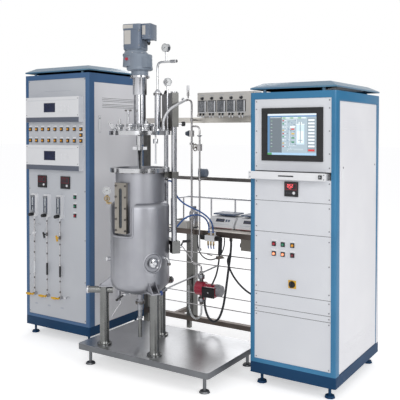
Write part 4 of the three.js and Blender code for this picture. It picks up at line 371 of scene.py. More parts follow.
# %% The workpiece
class Workpiece:
    """One mesh made of closed forms. Each form has its own finish."""

    def __init__(self, name):
        self.name, self.finishes, self.form = name, [], bmesh.new()
        self.wrap = self.form.loops.layers.uv.new("UVMap")

    def finish(self, material):
        if material not in self.finishes:
            self.finishes.append(material)
        return self.finishes.index(material)

    def rings(self, rings, material, uvs=None, closed=False):
        """Joins rings of points with faces and caps both ends, or turns back to the start."""
        index = self.finish(material)
        corners = [[self.form.verts.new(p) for p in ring] for ring in rings]
        pairs = list(zip(range(len(corners)), range(1, len(corners))))
        pairs += [(len(corners) - 1, 0)] if closed else []
        made = []
        for low, high in pairs:
            for i in range(len(corners[low])):
                k = (i + 1) % len(corners[low])
                face = self.form.faces.new((corners[low][i], corners[low][k], corners[high][k],
                    corners[high][i]))
                if uvs:
                    runs, girth = uvs
                    u, w = girth * i / len(corners[low]), girth * (i + 1) / len(corners[low])
                    spots = ((u, runs[low]), (w, runs[low]), (w, runs[high]), (u, runs[high]))
                    for loop, spot in zip(face.loops, spots):
                        loop[self.wrap].uv = spot
                made.append(face)
        if not closed:
            made.append(self.form.faces.new(list(reversed(corners[0]))))
            made.append(self.form.faces.new(corners[-1]))
        for face in made:
            face.material_index = index
        return self

    def block(self, low, high, material, turn=None):
        """A box between two corners. turn is a matrix about the box's own middle."""
        (x0, y0, z0), (x1, y1, z1) = low, high
        middle = (Vector(low) + Vector(high)) / 2
        rings = [[Vector(p) for p in ((x0, y0, z), (x1, y0, z), (x1, y1, z), (x0, y1, z))]
            for z in (z0, z1)]
        if turn:
            rings = [[middle + turn @ (p - middle) for p in ring] for ring in rings]
        return self.rings(rings, material)

    def turned(self, base, along, profile, material, sides=32):
        """A lathe form: (radius, height) pairs from base along a direction."""
        base, spin = Vector(base), Vector(along).to_track_quat("Z", "Y")
        rings = []
        for radius, height in profile:
            ring = [(radius * math.cos(2 * math.pi * i / sides), radius * math.sin(2 * math.pi * i / sides),
                height) for i in range(sides)]
            rings.append([base + spin @ Vector(p) for p in ring])
        return self.rings(rings, material)

    def rod(self, start, end, radius, material, sides=20, tip=None):
        start, end = Vector(start), Vector(end)
        return self.turned(start, end - start,
            [(radius, 0), (radius if tip is None else tip, (end - start).length)], material, sides)

    def tube(self, path, radius, material, sides=14):
        """A round section carried along a path without twisting. Its UV map is in metres."""
        path = [Vector(p) for p in path]
        tangents = [(path[min(i + 1, len(path) - 1)] - path[max(i - 1, 0)]).normalized()
            for i in range(len(path))]
        side = tangents[0].orthogonal().normalized()
        turns = [2 * math.pi * k / sides for k in range(sides)]
        rings, runs = [], [0.0]
        for i, (point, tangent) in enumerate(zip(path, tangents)):
            side = (side - side.project(tangent)).normalized()
            other = tangent.cross(side)
            rings.append([point + radius * (side * math.cos(a) + other * math.sin(a)) for a in turns])
            if i:
                runs.append(runs[-1] + (point - path[i - 1]).length)
        return self.rings(rings, material, uvs=(runs, 2 * math.pi * radius))

    def collar(self, centre, along, section, material, sides=48):
        """A closed outline of (radius, height) pairs spun into a ring, so its middle stays open."""
        centre, spin = Vector(centre), Vector(along).to_track_quat("Z", "Y")
        turns = [2 * math.pi * i / sides for i in range(sides)]
        rings = [[centre + spin @ Vector((r * math.cos(a), r * math.sin(a), h)) for r, h in section]
            for a in turns]
        return self.rings(rings, material, closed=True)

    def loop(self, centre, along, radius, thickness, material, sides=40, section=10):
        """A ring of round wire, such as a hand wheel's rim or a gauge's bezel."""
        turns = [2 * math.pi * k / section for k in range(section)]
        outline = [(radius + thickness * math.cos(b), thickness * math.sin(b)) for b in turns]
        return self.collar(centre, along, outline, material, sides)

    def slab(self, outline, start, depth, material, along=UP, across=RIGHT):
        """A flat outline of (u, v) pairs, u along across, given a depth along a direction from start."""
        along, across = Vector(along).normalized(), Vector(across).normalized()
        up, start = along.cross(across), Vector(start)
        rings = [[start + across * u + up * v + along * d for u, v in outline] for d in (0, depth)]
        return self.rings(rings, material)

    def done(self, body, edge_mm=0.6, soft_deg=38, slot=None):
        """Makes the object, rounds its sharp edges and lets it ride with a body."""
        bmesh.ops.recalc_face_normals(self.form, faces=self.form.faces)
        mesh = bpy.data.meshes.new(self.name)
        self.form.to_mesh(mesh)
        self.form.free()
        return settle(mesh, self.name, self.finishes, body, edge_mm, soft_deg)


def settle(mesh, name, finishes, body, edge_mm, soft_deg):
    """Smooth faces, sharp creases kept, a small round on edges, and a place in the scene."""
    for material in finishes:
        mesh.materials.append(material)
    mesh.polygons.foreach_set("use_smooth", [True] * len(mesh.polygons))
    mesh.set_sharp_from_angle(angle=math.radians(soft_deg))
    piece = in_scene(name, mesh)
    if edge_mm:
        round_off = piece.modifiers.new("edges", "BEVEL")
        round_off.width, round_off.segments = edge_mm / 1000, 2
        round_off.limit_method, round_off.angle_limit = "ANGLE", math.radians(max(soft_deg, 40))
        round_off.harden_normals = True
    if body:
        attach(piece, body)
    return piece


print("workpiece tools ready")

# %% [markdown]
# ## Hoses first
# A hose decides where everything near it can go, so the hoses come before the other pieces.
# Each follows the route that its CAD solid takes. Two blue air lines run from the vessel's
# ports to a valve block, a black hose loops under the shelf to the circulation pump, a clear
# hose hangs from the pump back to the drum line, and a braided exhaust hose rises from the
# lid. The lid moves on its lift, so that last hose bends between the lid and the pipe.

# %% Hose finishes
BRAID_LEAN = 1.2


def braid(name, light, dark, strand_mm, roughness, metallic):
    """Crossed strands wound round the hose: two sets of lines on the tube's own map."""
    material, tree, shader, place = new_material(name, Metallic=metallic)
    around = add(tree, "ShaderNodeUVMap", uv_map="UVMap").outputs[0]
    parts = add(tree, "ShaderNodeSeparateXYZ", {"Vector": around})
    waves = []
    for sign in (1, -1):
        lean = maths(tree, "MULTIPLY", parts.outputs[1], sign * BRAID_LEAN)
        lane = maths(tree, "ADD", parts.outputs[0], lean)
        turns = maths(tree, "MULTIPLY", lane, 2000 * math.pi / strand_mm)
        waves.append(maths(tree, "SINE", turns))
    cross = maths(tree, "MAXIMUM", *waves)
    tree.links.new(tint(tree, cross, dark, light, -0.2, 0.9), shader.inputs["Base Color"])
    tree.links.new(spread(tree, cross, roughness + 0.12, roughness, 0.0, 1.0), shader.inputs["Roughness"])
    bump(tree, shader, cross, 0.4, 0.8)
    return material


braided_exhaust = braid("braided steel hose", "#D8D9DB", "#9C9DA0", 5.0, 0.34, 0.75)
print("hose finishes made")

# %% Run the hoses
ROUTES = {
    "blue_hose_upper": [(0.0689, -0.2259, 1.203), (0.0828, -0.2115, 1.203), (0.091, -0.19, 1.176),
        (0.082, -0.16, 1.13), (0.08, -0.122, 1.085), (0.096, -0.072, 1.042), (0.124, -0.018, 1.01),
        (0.152, 0.038, 0.98), (0.172, 0.095, 0.942), (0.177, 0.145, 0.9), (0.168, 0.18, 0.86),
        (0.162, 0.194, 0.832), (0.162, 0.194, 0.8123)],
    "blue_hose_lower": [(0.0628, -0.1799, 0.872), (0.0718, -0.1667, 0.872), (0.08, -0.135, 0.892),
        (0.086, -0.095, 0.92), (0.096, -0.05, 0.944), (0.11, 0, 0.956), (0.124, 0.055, 0.954),
        (0.135, 0.105, 0.936), (0.138, 0.15, 0.905), (0.133, 0.182, 0.865), (0.128, 0.194, 0.834),
        (0.128, 0.194, 0.8123)],
    "black_hose": [(0.285, 0.235, 0.76), (0.285, 0.235, 0.73), (0.286, 0.222, 0.66), (0.288, 0.196, 0.58),
        (0.286, 0.176, 0.49), (0.281, 0.16, 0.4), (0.268, 0.15, 0.31), (0.238, 0.146, 0.235),
        (0.2, 0.147, 0.205), (0.16, 0.15, 0.218), (0.129, 0.155, 0.262), (0.116, 0.158, 0.312),
        (0.116, 0.158, 0.344)],
    "pump_hose": [(0.0685, 0.19, 0.2997), (0.0685, 0.19, 0.268), (0.06, 0.196, 0.222), (0.032, 0.207, 0.19),
        (-0.006, 0.222, 0.178), (-0.044, 0.236, 0.192), (-0.07, 0.246, 0.232), (-0.08, 0.25, 0.29),
        (-0.081, 0.25, 0.36), (-0.081, 0.25, 0.4047)],
    "exhaust_hose": [(0.12, -0.343, 1.5616), (0.12, -0.343, 1.59), (0.134, -0.338, 1.63),
        (0.158, -0.322, 1.668), (0.183, -0.29, 1.696), (0.194, -0.245, 1.716), (0.18, -0.19, 1.73),
        (0.142, -0.13, 1.74), (0.094, -0.066, 1.746), (0.046, -0.004, 1.75), (0.004, 0.048, 1.751),
        (-0.014, 0.088, 1.751), (-0.014, 0.1117, 1.751)],
}
HOSES = {
    "blue_hose_upper": (0.011, blue_tube, "blue_tube", "medium", "hanging"),
    "blue_hose_lower": (0.011, blue_tube, "blue_tube", "medium", "hanging"),
    "black_hose": (0.016, black_rubber, "black_tube", "medium", "hanging"),
    "pump_hose": (0.014, silicone_tube, "clear_tube", "medium", "hanging"),
    "exhaust_hose": (0.018, braided_exhaust, "braided_steel", "stiff", "loose"),
}
for node, (diameter, material, slot, stiffness, lay) in HOSES.items():
    path = flowing_path(ROUTES[node], diameter / 2)
    work = Workpiece(node + "_tube").tube(path, diameter / 2, material, 16)
    moving = node == "exhaust_hose"
    hose = work.done(None if moving else "station", edge_mm=0, slot=slot)
    if moving:
        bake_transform(hose, "station", "lid_assembly", start=ROUTES[node][-1], end=ROUTES[node][1])
    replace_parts(hose, node)
    print(node, "is", round(path_length(path), 3), "m long")

# %% [markdown]
# ## Bringing the CAD solids to life
# A CAD solid comes as loose triangles with razor edges. A copy with shared corners can be
# shaded smoothly where it is round, get a small round on its edges, and take a finish by
# region, such as bright pipes in front of a painted plate. The CAD solid stays in the file,
# hidden, and the copy stands for it.
# region, such as bright pipes in front of a painted plate. The CAD solid stays in the file
# for collision and the copy stands for it.

# %% Rework a CAD solid
BODY = {node: body for body, nodes in frame["record"]["behaviour"]["bodies"].items() for node in nodes}


FINER = 4  # sides of the finished round for each side of the CAD polygon


def trued(form, centre, sides, reach):
    """A CAD round is a polygon. Cuts it at more angles, then moves each corner out to the true circle."""
    wedge = 2 * math.pi / sides
    for k in range(sides * FINER // 2):
        if k % FINER:
            a = wedge * k / FINER
            everything = [*form.verts, *form.edges, *form.faces]
            bmesh.ops.bisect_plane(form, geom=everything, plane_co=centre,
                plane_no=(-math.sin(a), math.cos(a), 0))
    for corner in form.verts:
        out = Vector((corner.co.x - centre[0], corner.co.y - centre[1]))
        if out.length < reach:
            off = math.atan2(out.y, out.x) % wedge - wedge / 2
            corner.co.xy = Vector(centre[:2]) + out * (math.cos(off) / math.cos(wedge / 2))


def set_back(piece, side, depth):
    """Lowers a panel's outer face by as much as its latches and louvres stand out from it."""
    for corner in piece.data.vertices:
        if corner.co.x > side - 0.0004:
            corner.co.x -= depth


def made_round(piece, centre):
    """Bakes the piece and turns the shading of its round sides to point straight out from the axis."""
    graph = bpy.context.evaluated_depsgraph_get()
    mesh = bpy.data.meshes.new_from_object(piece.evaluated_get(graph))
    piece.modifiers.clear()
    normals = [corner.vector.copy() for corner in mesh.corner_normals]
    for face in mesh.polygons:
        flat = Vector((face.normal.x, face.normal.y, 0))
        for c in face.loop_indices:
            point = mesh.vertices[mesh.loops[c].vertex_index].co
            out = Vector((point.x - centre[0], point.y - centre[1], 0)).normalized()
            if flat.length > 0.3 and abs(flat.normalized().dot(out)) > 0.99:
                side = math.copysign(math.sqrt(max(1 - normals[c].z ** 2, 0)), flat.dot(out))
                normals[c] = out * side + above(normals[c].z)
    mesh.normals_split_custom_set(normals)
    piece.data = mesh


def reworked(node, material, edge_mm=1.0, soft_deg=32, regions=(), rounds=(), cuts=()):
    """regions holds (material, test) pairs, and test looks at a face's middle and direction.
    cuts holds (point, direction) planes that part faces where one finish meets another."""
    form = bmesh.new()
    form.from_mesh(frame["nodes"][node].data)
    bmesh.ops.remove_doubles(form, verts=form.verts, dist=1e-5)
    bmesh.ops.dissolve_limit(form, angle_limit=math.radians(0.5), verts=form.verts, edges=form.edges)
    for centre, sides, reach in rounds:
        trued(form, centre, sides, reach)
    for point, direction in cuts:
        everything = [*form.verts, *form.edges, *form.faces]
        bmesh.ops.bisect_plane(form, geom=everything, plane_co=point, plane_no=direction)
    finishes = [material, *[finish for finish, test in regions]]
    for face in form.faces:
        face.material_index = 0
        for i, (finish, test) in enumerate(regions):
            if test(face.calc_center_median(), face.normal):
                face.material_index = i + 1
    mesh = bpy.data.meshes.new(node + "_finished")
    form.to_mesh(mesh)
    form.free()
    piece = settle(mesh, node + "_finished", finishes, BODY[node], edge_mm, soft_deg)
    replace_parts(piece, node)
    return piece


# %% Cabinets and platform
# Black feet, and a plinth whose blue is darkened with painted shade near the floor.
FEET_AND_SHADED_PLINTH = [(dark_plastic, lambda p, n: p.z < 0.0695), (plinth_shaded_blue, lambda p, n: p.z < 0.1355)]
ABOVE_PLINTH = ((0, 0, 0.1355), UP)
reworked("gas_cabinet_frame", blue_left, 1.5, regions=FEET_AND_SHADED_PLINTH, cuts=[ABOVE_PLINTH])
reworked("gas_cabinet_lid", blue_lid, 1.5)
reworked("gas_cabinet_panels", side_white, 1.0)
reworked("control_cabinet_frame", blue_right, 1.5, regions=[
    *FEET_AND_SHADED_PLINTH, (side_white, lambda p, n: n.x > 0.9 and 0.5 < p.y < 0.548 and 0.14 < p.z < 1.715)],
    cuts=[ABOVE_PLINTH, ((0, 0, 1.7195), UP), ((0, 0.548, 0), BACKWARD)])
reworked("control_cabinet_lid", blue_lid, 1.5)
sides = reworked("control_cabinet_panels", side_white, 1.0)
CONTROL_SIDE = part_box("control_cabinet_panels")[1].x - 0.0036
set_back(sides, CONTROL_SIDE + 0.0036, 0.0036)
GAS_LINE_X, GAS_LINE_PITCH, GAS_LINE_Y = -1.116, 0.131, -0.277
TUBE_SHARE = 0.62  # how much of the CAD tube's thickness the gas lines keep
# The gas front's grey carries painted shade.
gas_front = reworked("gas_front_panel", gas_front_shaded_grey, 0.8, regions=[
    (pipe_steel, lambda p, n: p.y < -0.2575 and p.z < 0.87),
    (case_white, lambda p, n: p.y < -0.2575 and p.z >= 0.87)])
for corner in gas_front.data.vertices:
    if corner.co.y < -0.2577 and corner.co.z < 0.87:
        line = GAS_LINE_X + GAS_LINE_PITCH * round((corner.co.x - GAS_LINE_X) / GAS_LINE_PITCH)
        corner.co.x = line + (corner.co.x - line) * TUBE_SHARE
        corner.co.y = GAS_LINE_Y + (corner.co.y - GAS_LINE_Y) * TUBE_SHARE
for node in ("gas_analyser_upper", "gas_analyser_lower"):
    low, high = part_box(node)
    reworked(node, case_white, 1.5, regions=[
        (slate_grey, lambda p, n, z=low.z + 0.036: p.z < z and n.y < -0.9)])
reworked("monitor_plate", front_grey, 1.0)
reworked("lower_front_plate", front_grey, 0.8)
reworked("panel_computer", black_plastic, 1.5)
reworked("keyboard_drawer", case_white, 0.8)
# The platform's upright faces take the steel darkened with painted shade.
reworked("platform", brushed_plate, 2.0, regions=[
    (dark_plastic, lambda p, n: p.z < 0.0125), (shaded_folded_edge, lambda p, n: n.z < 0.5)])
for i in (1, 2, 3):
    reworked(f"rotameter_knob_{i}", black_plastic, 0.6)
    reworked(f"gas_valve_handle_{i}", yellow_plastic, 0.6)
print("cabinets and platform finished")

# %% Vessel, lift and drive
AXIS = (-0.058, -0.357, 0)
LIFT_ANGLE = 52.5
VESSEL_ROUND = (AXIS, 20, 0.199)  # the axis, the CAD polygon's sides and how far out it is trued


def lift_frame(p):
    """A point's place out through the lift and along its span, in metres from the vessel's axis."""
    turn = math.radians(LIFT_ANGLE)
    x, y = p.x - AXIS[0], p.y - AXIS[1]
    return x * math.cos(turn) + y * math.sin(turn), y * math.cos(turn) - x * math.sin(turn)


def on_crank_box(p, n):
    u, v = lift_frame(p)
    return 0.738 < p.z < 0.822 and u > 0.1825 and -0.1185 < v < -0.0555


def on_rib(p, n):
    u, v = lift_frame(p)
    return u < 0.1829 and p.z > 1.5575


vessel = reworked("vessel", blasted_steel, 1.5, 40, rounds=[VESSEL_ROUND], regions=[
    (polished_steel, lambda p, n: p.z > 1.266)])
made_round(vessel, AXIS)
reworked("sight_glass_frame", glass_frame_steel, 1.5)
reworked("sample_valve_lever", black_plastic, 0.6)
reworked("lift_column", brushed_post, 0.8, regions=[(leg_steel, on_crank_box)])
reworked("lift_crank", polished_steel, 0.6, regions=[
    (black_plastic, lambda p, n: p.z > 0.806)])
reworked("lift_carriage", brushed_post, 1.2, regions=[(dark_steel, on_rib)])
reworked("vessel_lid", polished_steel, 0.8, rounds=[VESSEL_ROUND])
reworked("drive_tube", tube_steel, 0.5, rounds=[VESSEL_ROUND])
reworked("motor", machine_grey, 1.0)
reworked("terminal_box", machine_grey, 2.0)
reworked("agitator_shaft", polished_steel, 0.4, rounds=[(AXIS, 12, 0.04)])
reworked("impeller", polished_steel, 0.4, rounds=[(AXIS, 20, 0.052)])
print("vessel, lift and drive finished")

# %% Rack
def on_drum(p, n):
    return -0.0105 < p.x < 0.0455 and 1.195 < p.z < 1.26


reworked("rack_frame", brushed_post, 1.0, regions=[
    (machine_grey, on_drum), (brushed_beam, lambda p, n: 1.5895 < p.z < 1.64 and p.y < 0.34),
    (dark_steel, lambda p, n: 1.17 < p.z < 1.2 and p.y > 0.24),
    (brown_beam, lambda p, n: 0.1345 < p.z < 0.1695)],
    cuts=[((0, 0, z), UP) for z in (0.135, 0.169, 1.59)])
reworked("shelf", brushed_beam, 1.0, regions=[
    (box_brown, lambda p, n: p.z < 0.78 and p.x > 0.3), (brown_beam, lambda p, n: n.y < -0.5)])
reworked("shelf_rail", tube_steel, 0.3, 62)
reworked("pump_bank", pump_grey, 1.0, regions=[
    (white_plastic, lambda p, n: p.y < 0.2268 and p.z < 1.6636),
    (black_plastic, lambda p, n: p.y < 0.2268),
    (dark_plastic, lambda p, n: 0.2275 < p.y < 0.2575 and 1.6635 < p.z < 1.7445 and 0.0225 < p.x < 0.4015)])
reworked("valve_block", white_plastic, 0.8, regions=[
    (black_plastic, lambda p, n: not 0.1055 < p.x < 0.1835),
    (brass, lambda p, n: (p.z < 0.7568 or p.z > 0.7975) and p.y < 0.208)])
reworked("circulation_pump", pump_red, 1.2, regions=[
    (black_plastic, lambda p, n: p.y < 0.1475 and p.x > 0.11), (cap_grey, lambda p, n: p.x > 0.2085),
    (dark_steel, lambda p, n: not 0.362 < p.z < 0.464)])
reworked("process_pipe", pipe_steel, 0.3, 62)
reworked("handwheel", wheel_brown, 0.6, 50)
reworked("diaphragm_valve_knob", dark_machine_grey, 0.8, 50)
reworked("main_switch_knob", black_plastic, 0.8)
for i in (1, 2):
    reworked(f"balance_{i}", case_white, 2.0, regions=[
        (grey_plastic, lambda p, n: p.z > 0.9052)])
for i in range(1, 6):
    reworked(f"pump_rotor_{i}", dark_plastic, 0.4)
print("rack finished")

# %% [markdown]
# ## What repeats
# Screws, pilot lamps, louvres, bolts and gauge marks repeat, so each is described once as a
# Geometry Nodes tree with its sizes as inputs. A tree sets a small form on every point of a
# mesh, turned to the way that the point faces. The result is then kept as a plain mesh.

# %% Helpers for geometry trees
def new_tree(name, **sizes):
    """An empty geometry tree with named inputs, its input node and its output node."""
    tree = bpy.data.node_groups.new(name, "GeometryNodeTree")
    tree.interface.new_socket("Geometry", in_out="INPUT", socket_type="NodeSocketGeometry")
    for label, value in sizes.items():
        kind = "NodeSocketInt" if isinstance(value, int) else "NodeSocketFloat"
        tree.interface.new_socket(label, in_out="INPUT", socket_type=kind).default_value = value
    tree.interface.new_socket("Finish", in_out="INPUT", socket_type="NodeSocketMaterial")
    tree.interface.new_socket("Geometry", in_out="OUTPUT", socket_type="NodeSocketGeometry")
    return tree, add(tree, "NodeGroupInput").outputs


def end_tree(tree, geometry, finish):
    """Every tree ends the same way: real geometry in place of instances, then its finish."""
    real = add(tree, "GeometryNodeRealizeInstances", {"Geometry": geometry})
    painted = add(tree, "GeometryNodeSetMaterial", {"Geometry": real.outputs[0], "Material": finish})
    add(tree, "NodeGroupOutput", {"Geometry": painted.outputs[0]})


def grown(name, tree, material, body, points=((0, 0, 0),), facing=UP, place=None, edge_mm=0, soft_deg=35,
        slot=None, **sizes):
    """Runs a tree on points that all face one way, and keeps what it makes as one mesh."""
    seeds = bpy.data.meshes.new(name + "_points")
    seeds.from_pydata([Vector(p) for p in points], [], [])
    way = seeds.attributes.new("facing", "FLOAT_VECTOR", "POINT")
    way.data.foreach_set("vector", [x for p in points for x in facing])
    holder = in_scene(name + "_points", seeds)
    modifier = holder.modifiers.new("grow", "NODES")
    modifier.node_group = tree
    wanted = {**sizes, "Finish": material}
    for item in tree.interface.items_tree:
        if item.in_out == "INPUT" and item.name in wanted:
            modifier[item.identifier] = wanted[item.name]
    evaluated = holder.evaluated_get(bpy.context.evaluated_depsgraph_get())
    mesh = bpy.data.meshes.new_from_object(evaluated)
    bpy.data.objects.remove(holder)
    mesh.name = name
    if place:
        mesh.transform(place)
    mesh.materials.clear()
    for attribute in [a for a in mesh.attributes if a.name == "facing"]:
        mesh.attributes.remove(attribute)
    piece = settle(mesh, name, [material], body, edge_mm, soft_deg)
    print(name, "has", len(mesh.polygons), "faces")
    return piece


# %% A tree that sets studs on points
studs, given = new_tree("studs on points", Radius=0.003, Top=0.0024, Height=0.002, Lift=0.0, Sides=16)
cone = add(studs, "GeometryNodeMeshCone", {"Vertices": given["Sides"], "Radius Bottom": given["Radius"],
    "Radius Top": given["Top"], "Depth": given["Height"]})
raised = add(studs, "ShaderNodeCombineXYZ", {"Z": given["Lift"]})
lifted = add(studs, "GeometryNodeTransform", {"Geometry": cone.outputs["Mesh"],
    "Translation": raised.outputs[0]})
way = add(studs, "GeometryNodeInputNamedAttribute", {"Name": "facing"}, data_type="FLOAT_VECTOR")
turn = add(studs, "FunctionNodeAlignRotationToVector", {"Vector": way.outputs["Attribute"]}, axis="Z")
set_out = add(studs, "GeometryNodeInstanceOnPoints", {"Points": given["Geometry"],
    "Instance": lifted.outputs[0], "Rotation": turn.outputs[0]})
end_tree(studs, set_out.outputs[0], given["Finish"])

# %% A tree that presses louvres
# A louvre is a slit whose upper lip is pushed outwards. The block's top edge is pulled back to
# the sheet, which leaves a sloping hood, and rows of hoods stand one above another.
louvres, given = new_tree("pressed louvres", Length=0.3, Proud=0.003, Height=0.006, Pitch=0.012, Rows=4)
size = add(louvres, "ShaderNodeCombineXYZ", {"X": given["Proud"], "Y": given["Length"],
    "Z": given["Height"]})
hood = add(louvres, "GeometryNodeMeshCube", {"Size": size.outputs[0]})
spot = add(louvres, "GeometryNodeInputPosition")
split = add(louvres, "ShaderNodeSeparateXYZ", {"Vector": spot.outputs[0]})
upper = add(louvres, "FunctionNodeCompare", {0: split.outputs[2], 1: 0.0}, operation="GREATER_THAN")
outer = add(louvres, "FunctionNodeCompare", {0: split.outputs[0], 1: 0.0}, operation="GREATER_THAN")
corner = add(louvres, "FunctionNodeBooleanMath", {0: upper.outputs[0], 1: outer.outputs[0]},
    operation="AND")
HOOD_SLOPE = 0.85  # how far back the hood's upper lip goes, as a share of how proud it stands
back = maths(louvres, "MULTIPLY", given["Proud"], -HOOD_SLOPE)
pull = add(louvres, "ShaderNodeCombineXYZ", {"X": back})
sloped = add(louvres, "GeometryNodeSetPosition", {"Geometry": hood.outputs["Mesh"],
    "Selection": corner.outputs[0], "Offset": pull.outputs[0]})
step = add(louvres, "ShaderNodeCombineXYZ", {"Z": given["Pitch"]})
line = add(louvres, "GeometryNodeMeshLine", {"Count": given["Rows"], "Offset": step.outputs[0]},
    mode="OFFSET")
column = add(louvres, "GeometryNodeInstanceOnPoints",
    {"Points": line.outputs[0], "Instance": sloped.outputs[0]})
rows = add(louvres, "GeometryNodeInstanceOnPoints",
    {"Points": given["Geometry"], "Instance": column.outputs[0]})
end_tree(louvres, rows.outputs[0], given["Finish"])

# %% A tree for rings of bolts, and one for gauge marks
bolt_ring, given = new_tree("ring of bolts", Count=12, Ring=0.18, Radius=0.006, Height=0.006, Sides=6)
circle = add(bolt_ring, "GeometryNodeMeshCircle", {"Vertices": given["Count"], "Radius": given["Ring"]})
head = add(bolt_ring, "GeometryNodeMeshCone", {"Vertices": given["Sides"], "Radius Bottom": given["Radius"],
    "Radius Top": given["Radius"], "Depth": given["Height"]})
bolts = add(bolt_ring, "GeometryNodeInstanceOnPoints", {"Points": circle.outputs[0],
    "Instance": head.outputs["Mesh"]})
end_tree(bolt_ring, bolts.outputs[0], given["Finish"])

marks, given = new_tree("marks round a dial", Count=41, Ring=0.02, Length=0.003, Width=0.0006, Sweep=4.71)
line = add(marks, "GeometryNodeMeshLine", {"Count": given["Count"], "Offset": (0, 0, 0)}, mode="OFFSET")
index = add(marks, "GeometryNodeInputIndex").outputs[0]
share = maths(marks, "DIVIDE", index, maths(marks, "SUBTRACT", given["Count"], 1.0))
angle = maths(marks, "MULTIPLY", share, given["Sweep"])
spin = add(marks, "ShaderNodeCombineXYZ", {"Z": angle}).outputs[0]
size = add(marks, "ShaderNodeCombineXYZ",
    {"X": given["Length"], "Y": given["Width"], "Z": 0.0004}).outputs[0]
bar = add(marks, "GeometryNodeMeshCube", {"Size": size}).outputs[0]
out = add(marks, "ShaderNodeCombineXYZ", {"X": given["Ring"]}).outputs[0]
moved = add(marks, "GeometryNodeTransform", {"Geometry": bar, "Translation": out}).outputs[0]
ticks = add(marks, "GeometryNodeInstanceOnPoints", {"Points": line.outputs[0], "Instance": moved,
    "Rotation": spin})
end_tree(marks, ticks.outputs[0], given["Finish"])
print("trees built:", [t.name for t in bpy.data.node_groups])

# %% [markdown]
# ## Side panels
# The cabinets' side panels breathe through pressed louvres, and close with a flush latch that
# a quarter turn of a key opens. Rows of screws hold the front plates to the posts.

# %% Louvres and latches
GAS_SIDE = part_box("gas_cabinet_panels")[1].x
shadow_black = moulded("shadow behind a slit", "#2C2D31", "#34353A", 0.8)


def louvre_field(name, side, y0, y1, bottoms):
    points = [(side + 0.0008, (y0 + y1) / 2, z) for z in bottoms]
    grown(name, louvres, side_white, "station", points, Length=y1 - y0, Proud=0.003, Height=0.0058,
        Pitch=0.0112, Rows=3, slot="panel_grey")
    slits = [(side + 0.0003, (y0 + y1) / 2, z - 0.0043) for z in bottoms]
    grown(name + "_slits", louvres, shadow_black, "station", slits, Length=y1 - y0 - 0.006, Proud=0.0012,
        Height=0.0026, Pitch=0.0112, Rows=3)


louvre_field("gas_side_louvres", GAS_SIDE, -0.12, 0.3, [1.708, 1.752])
louvre_field("control_side_louvres", CONTROL_SIDE, -0.1, 0.472, [1.535, 1.577])
louvre_field("control_side_lower_louvres", CONTROL_SIDE, -0.1, 0.472, [0.228, 0.268])


def flush_latch(name, side, y, z0, z1):
    """A bezel round a swinging handle, which lies flush until its button is pressed."""
    work = Workpiece(name)
    # A slate grey margin round the bezel is painted shade in the gap round the latch.
    work.block((side - 0.0005, y - 0.015, z0 - 0.0015), (side + 0.0004, y + 0.015, z1 + 0.0015), slate_grey)
    work.block((side - 0.0005, y - 0.0135, z0), (side + 0.0014, y + 0.0135, z1), white_plastic)
    work.block((side + 0.001, y - 0.0085, z0 + 0.014), (side + 0.0032, y + 0.0085, z1 - 0.03), case_white)
    work.turned((side + 0.001, y, z1 - 0.016), RIGHT, [(0.0062, 0), (0.0062, 0.0012), (0.005, 0.002)],
        fastener_steel, 20)
    work.block((side + 0.0026, y - 0.0012, z1 - 0.0205), (side + 0.0032, y + 0.0012, z1 - 0.0115),
        shadow_black)
    return work.done("station", 0.4)


flush_latch("gas_side_latch", GAS_SIDE, -0.1445, 1.524, 1.639)
flush_latch("control_side_latch_front", CONTROL_SIDE, -0.106, 1.242, 1.335)
flush_latch("control_side_latch_back", CONTROL_SIDE, 0.473, 1.245, 1.329)

# %% Screws down the front plates
def screws(name, points, facing, body="station", radius=0.0042):
    grown(name, studs, fastener_steel, body, points, facing, Radius=radius, Top=radius * 0.78,
        Height=0.0022)
    grown(name + "_sockets", studs, shadow_black, body, points, facing, Radius=radius * 0.42,
        Top=radius * 0.42, Height=0.0006, Lift=0.002, Sides=6)


control_left, control_right = 0.722, 1.183
levels = [0.172, 0.43, 0.462, 0.496, 0.55, 0.6, 0.76, 0.9, 0.96, 1.09, 1.14, 1.23, 1.32, 1.4, 1.53, 1.66,
    1.705]
control_face = -0.222
screws("control_front_screws", [(x, control_face, z) for x in (control_left, control_right)
    for z in levels], FORWARD)
screws("gas_front_screws", [(x, -0.257, z) for x in (-1.183, -0.627)
    for z in (0.175, 0.45, 0.75, 1.1, 1.9)], FORWARD)
# Thin dark strips painted with the shade in the seams between the front plates.
seam_shade = Workpiece("front_plate_seams")
for z in (0.445, 0.48, 0.567, 0.931, 1.117):
    seam_shade.block((0.7035, control_face - 0.0005, z - 0.0011), (1.2015, control_face + 0.0004, z + 0.0011),
        shadow_black)
seam_shade.done("station", 0)
print("side panels and screws done")

# %% [markdown]
# ## Gas cabinet front
# Two gas analysers, nineteen lamps, two temperature controllers and three gas lines with flow
# meters fill this front. Everything on it is a bought-in part with a size that its maker
# fixed: lamps are 22 mm, controllers 96 mm square.

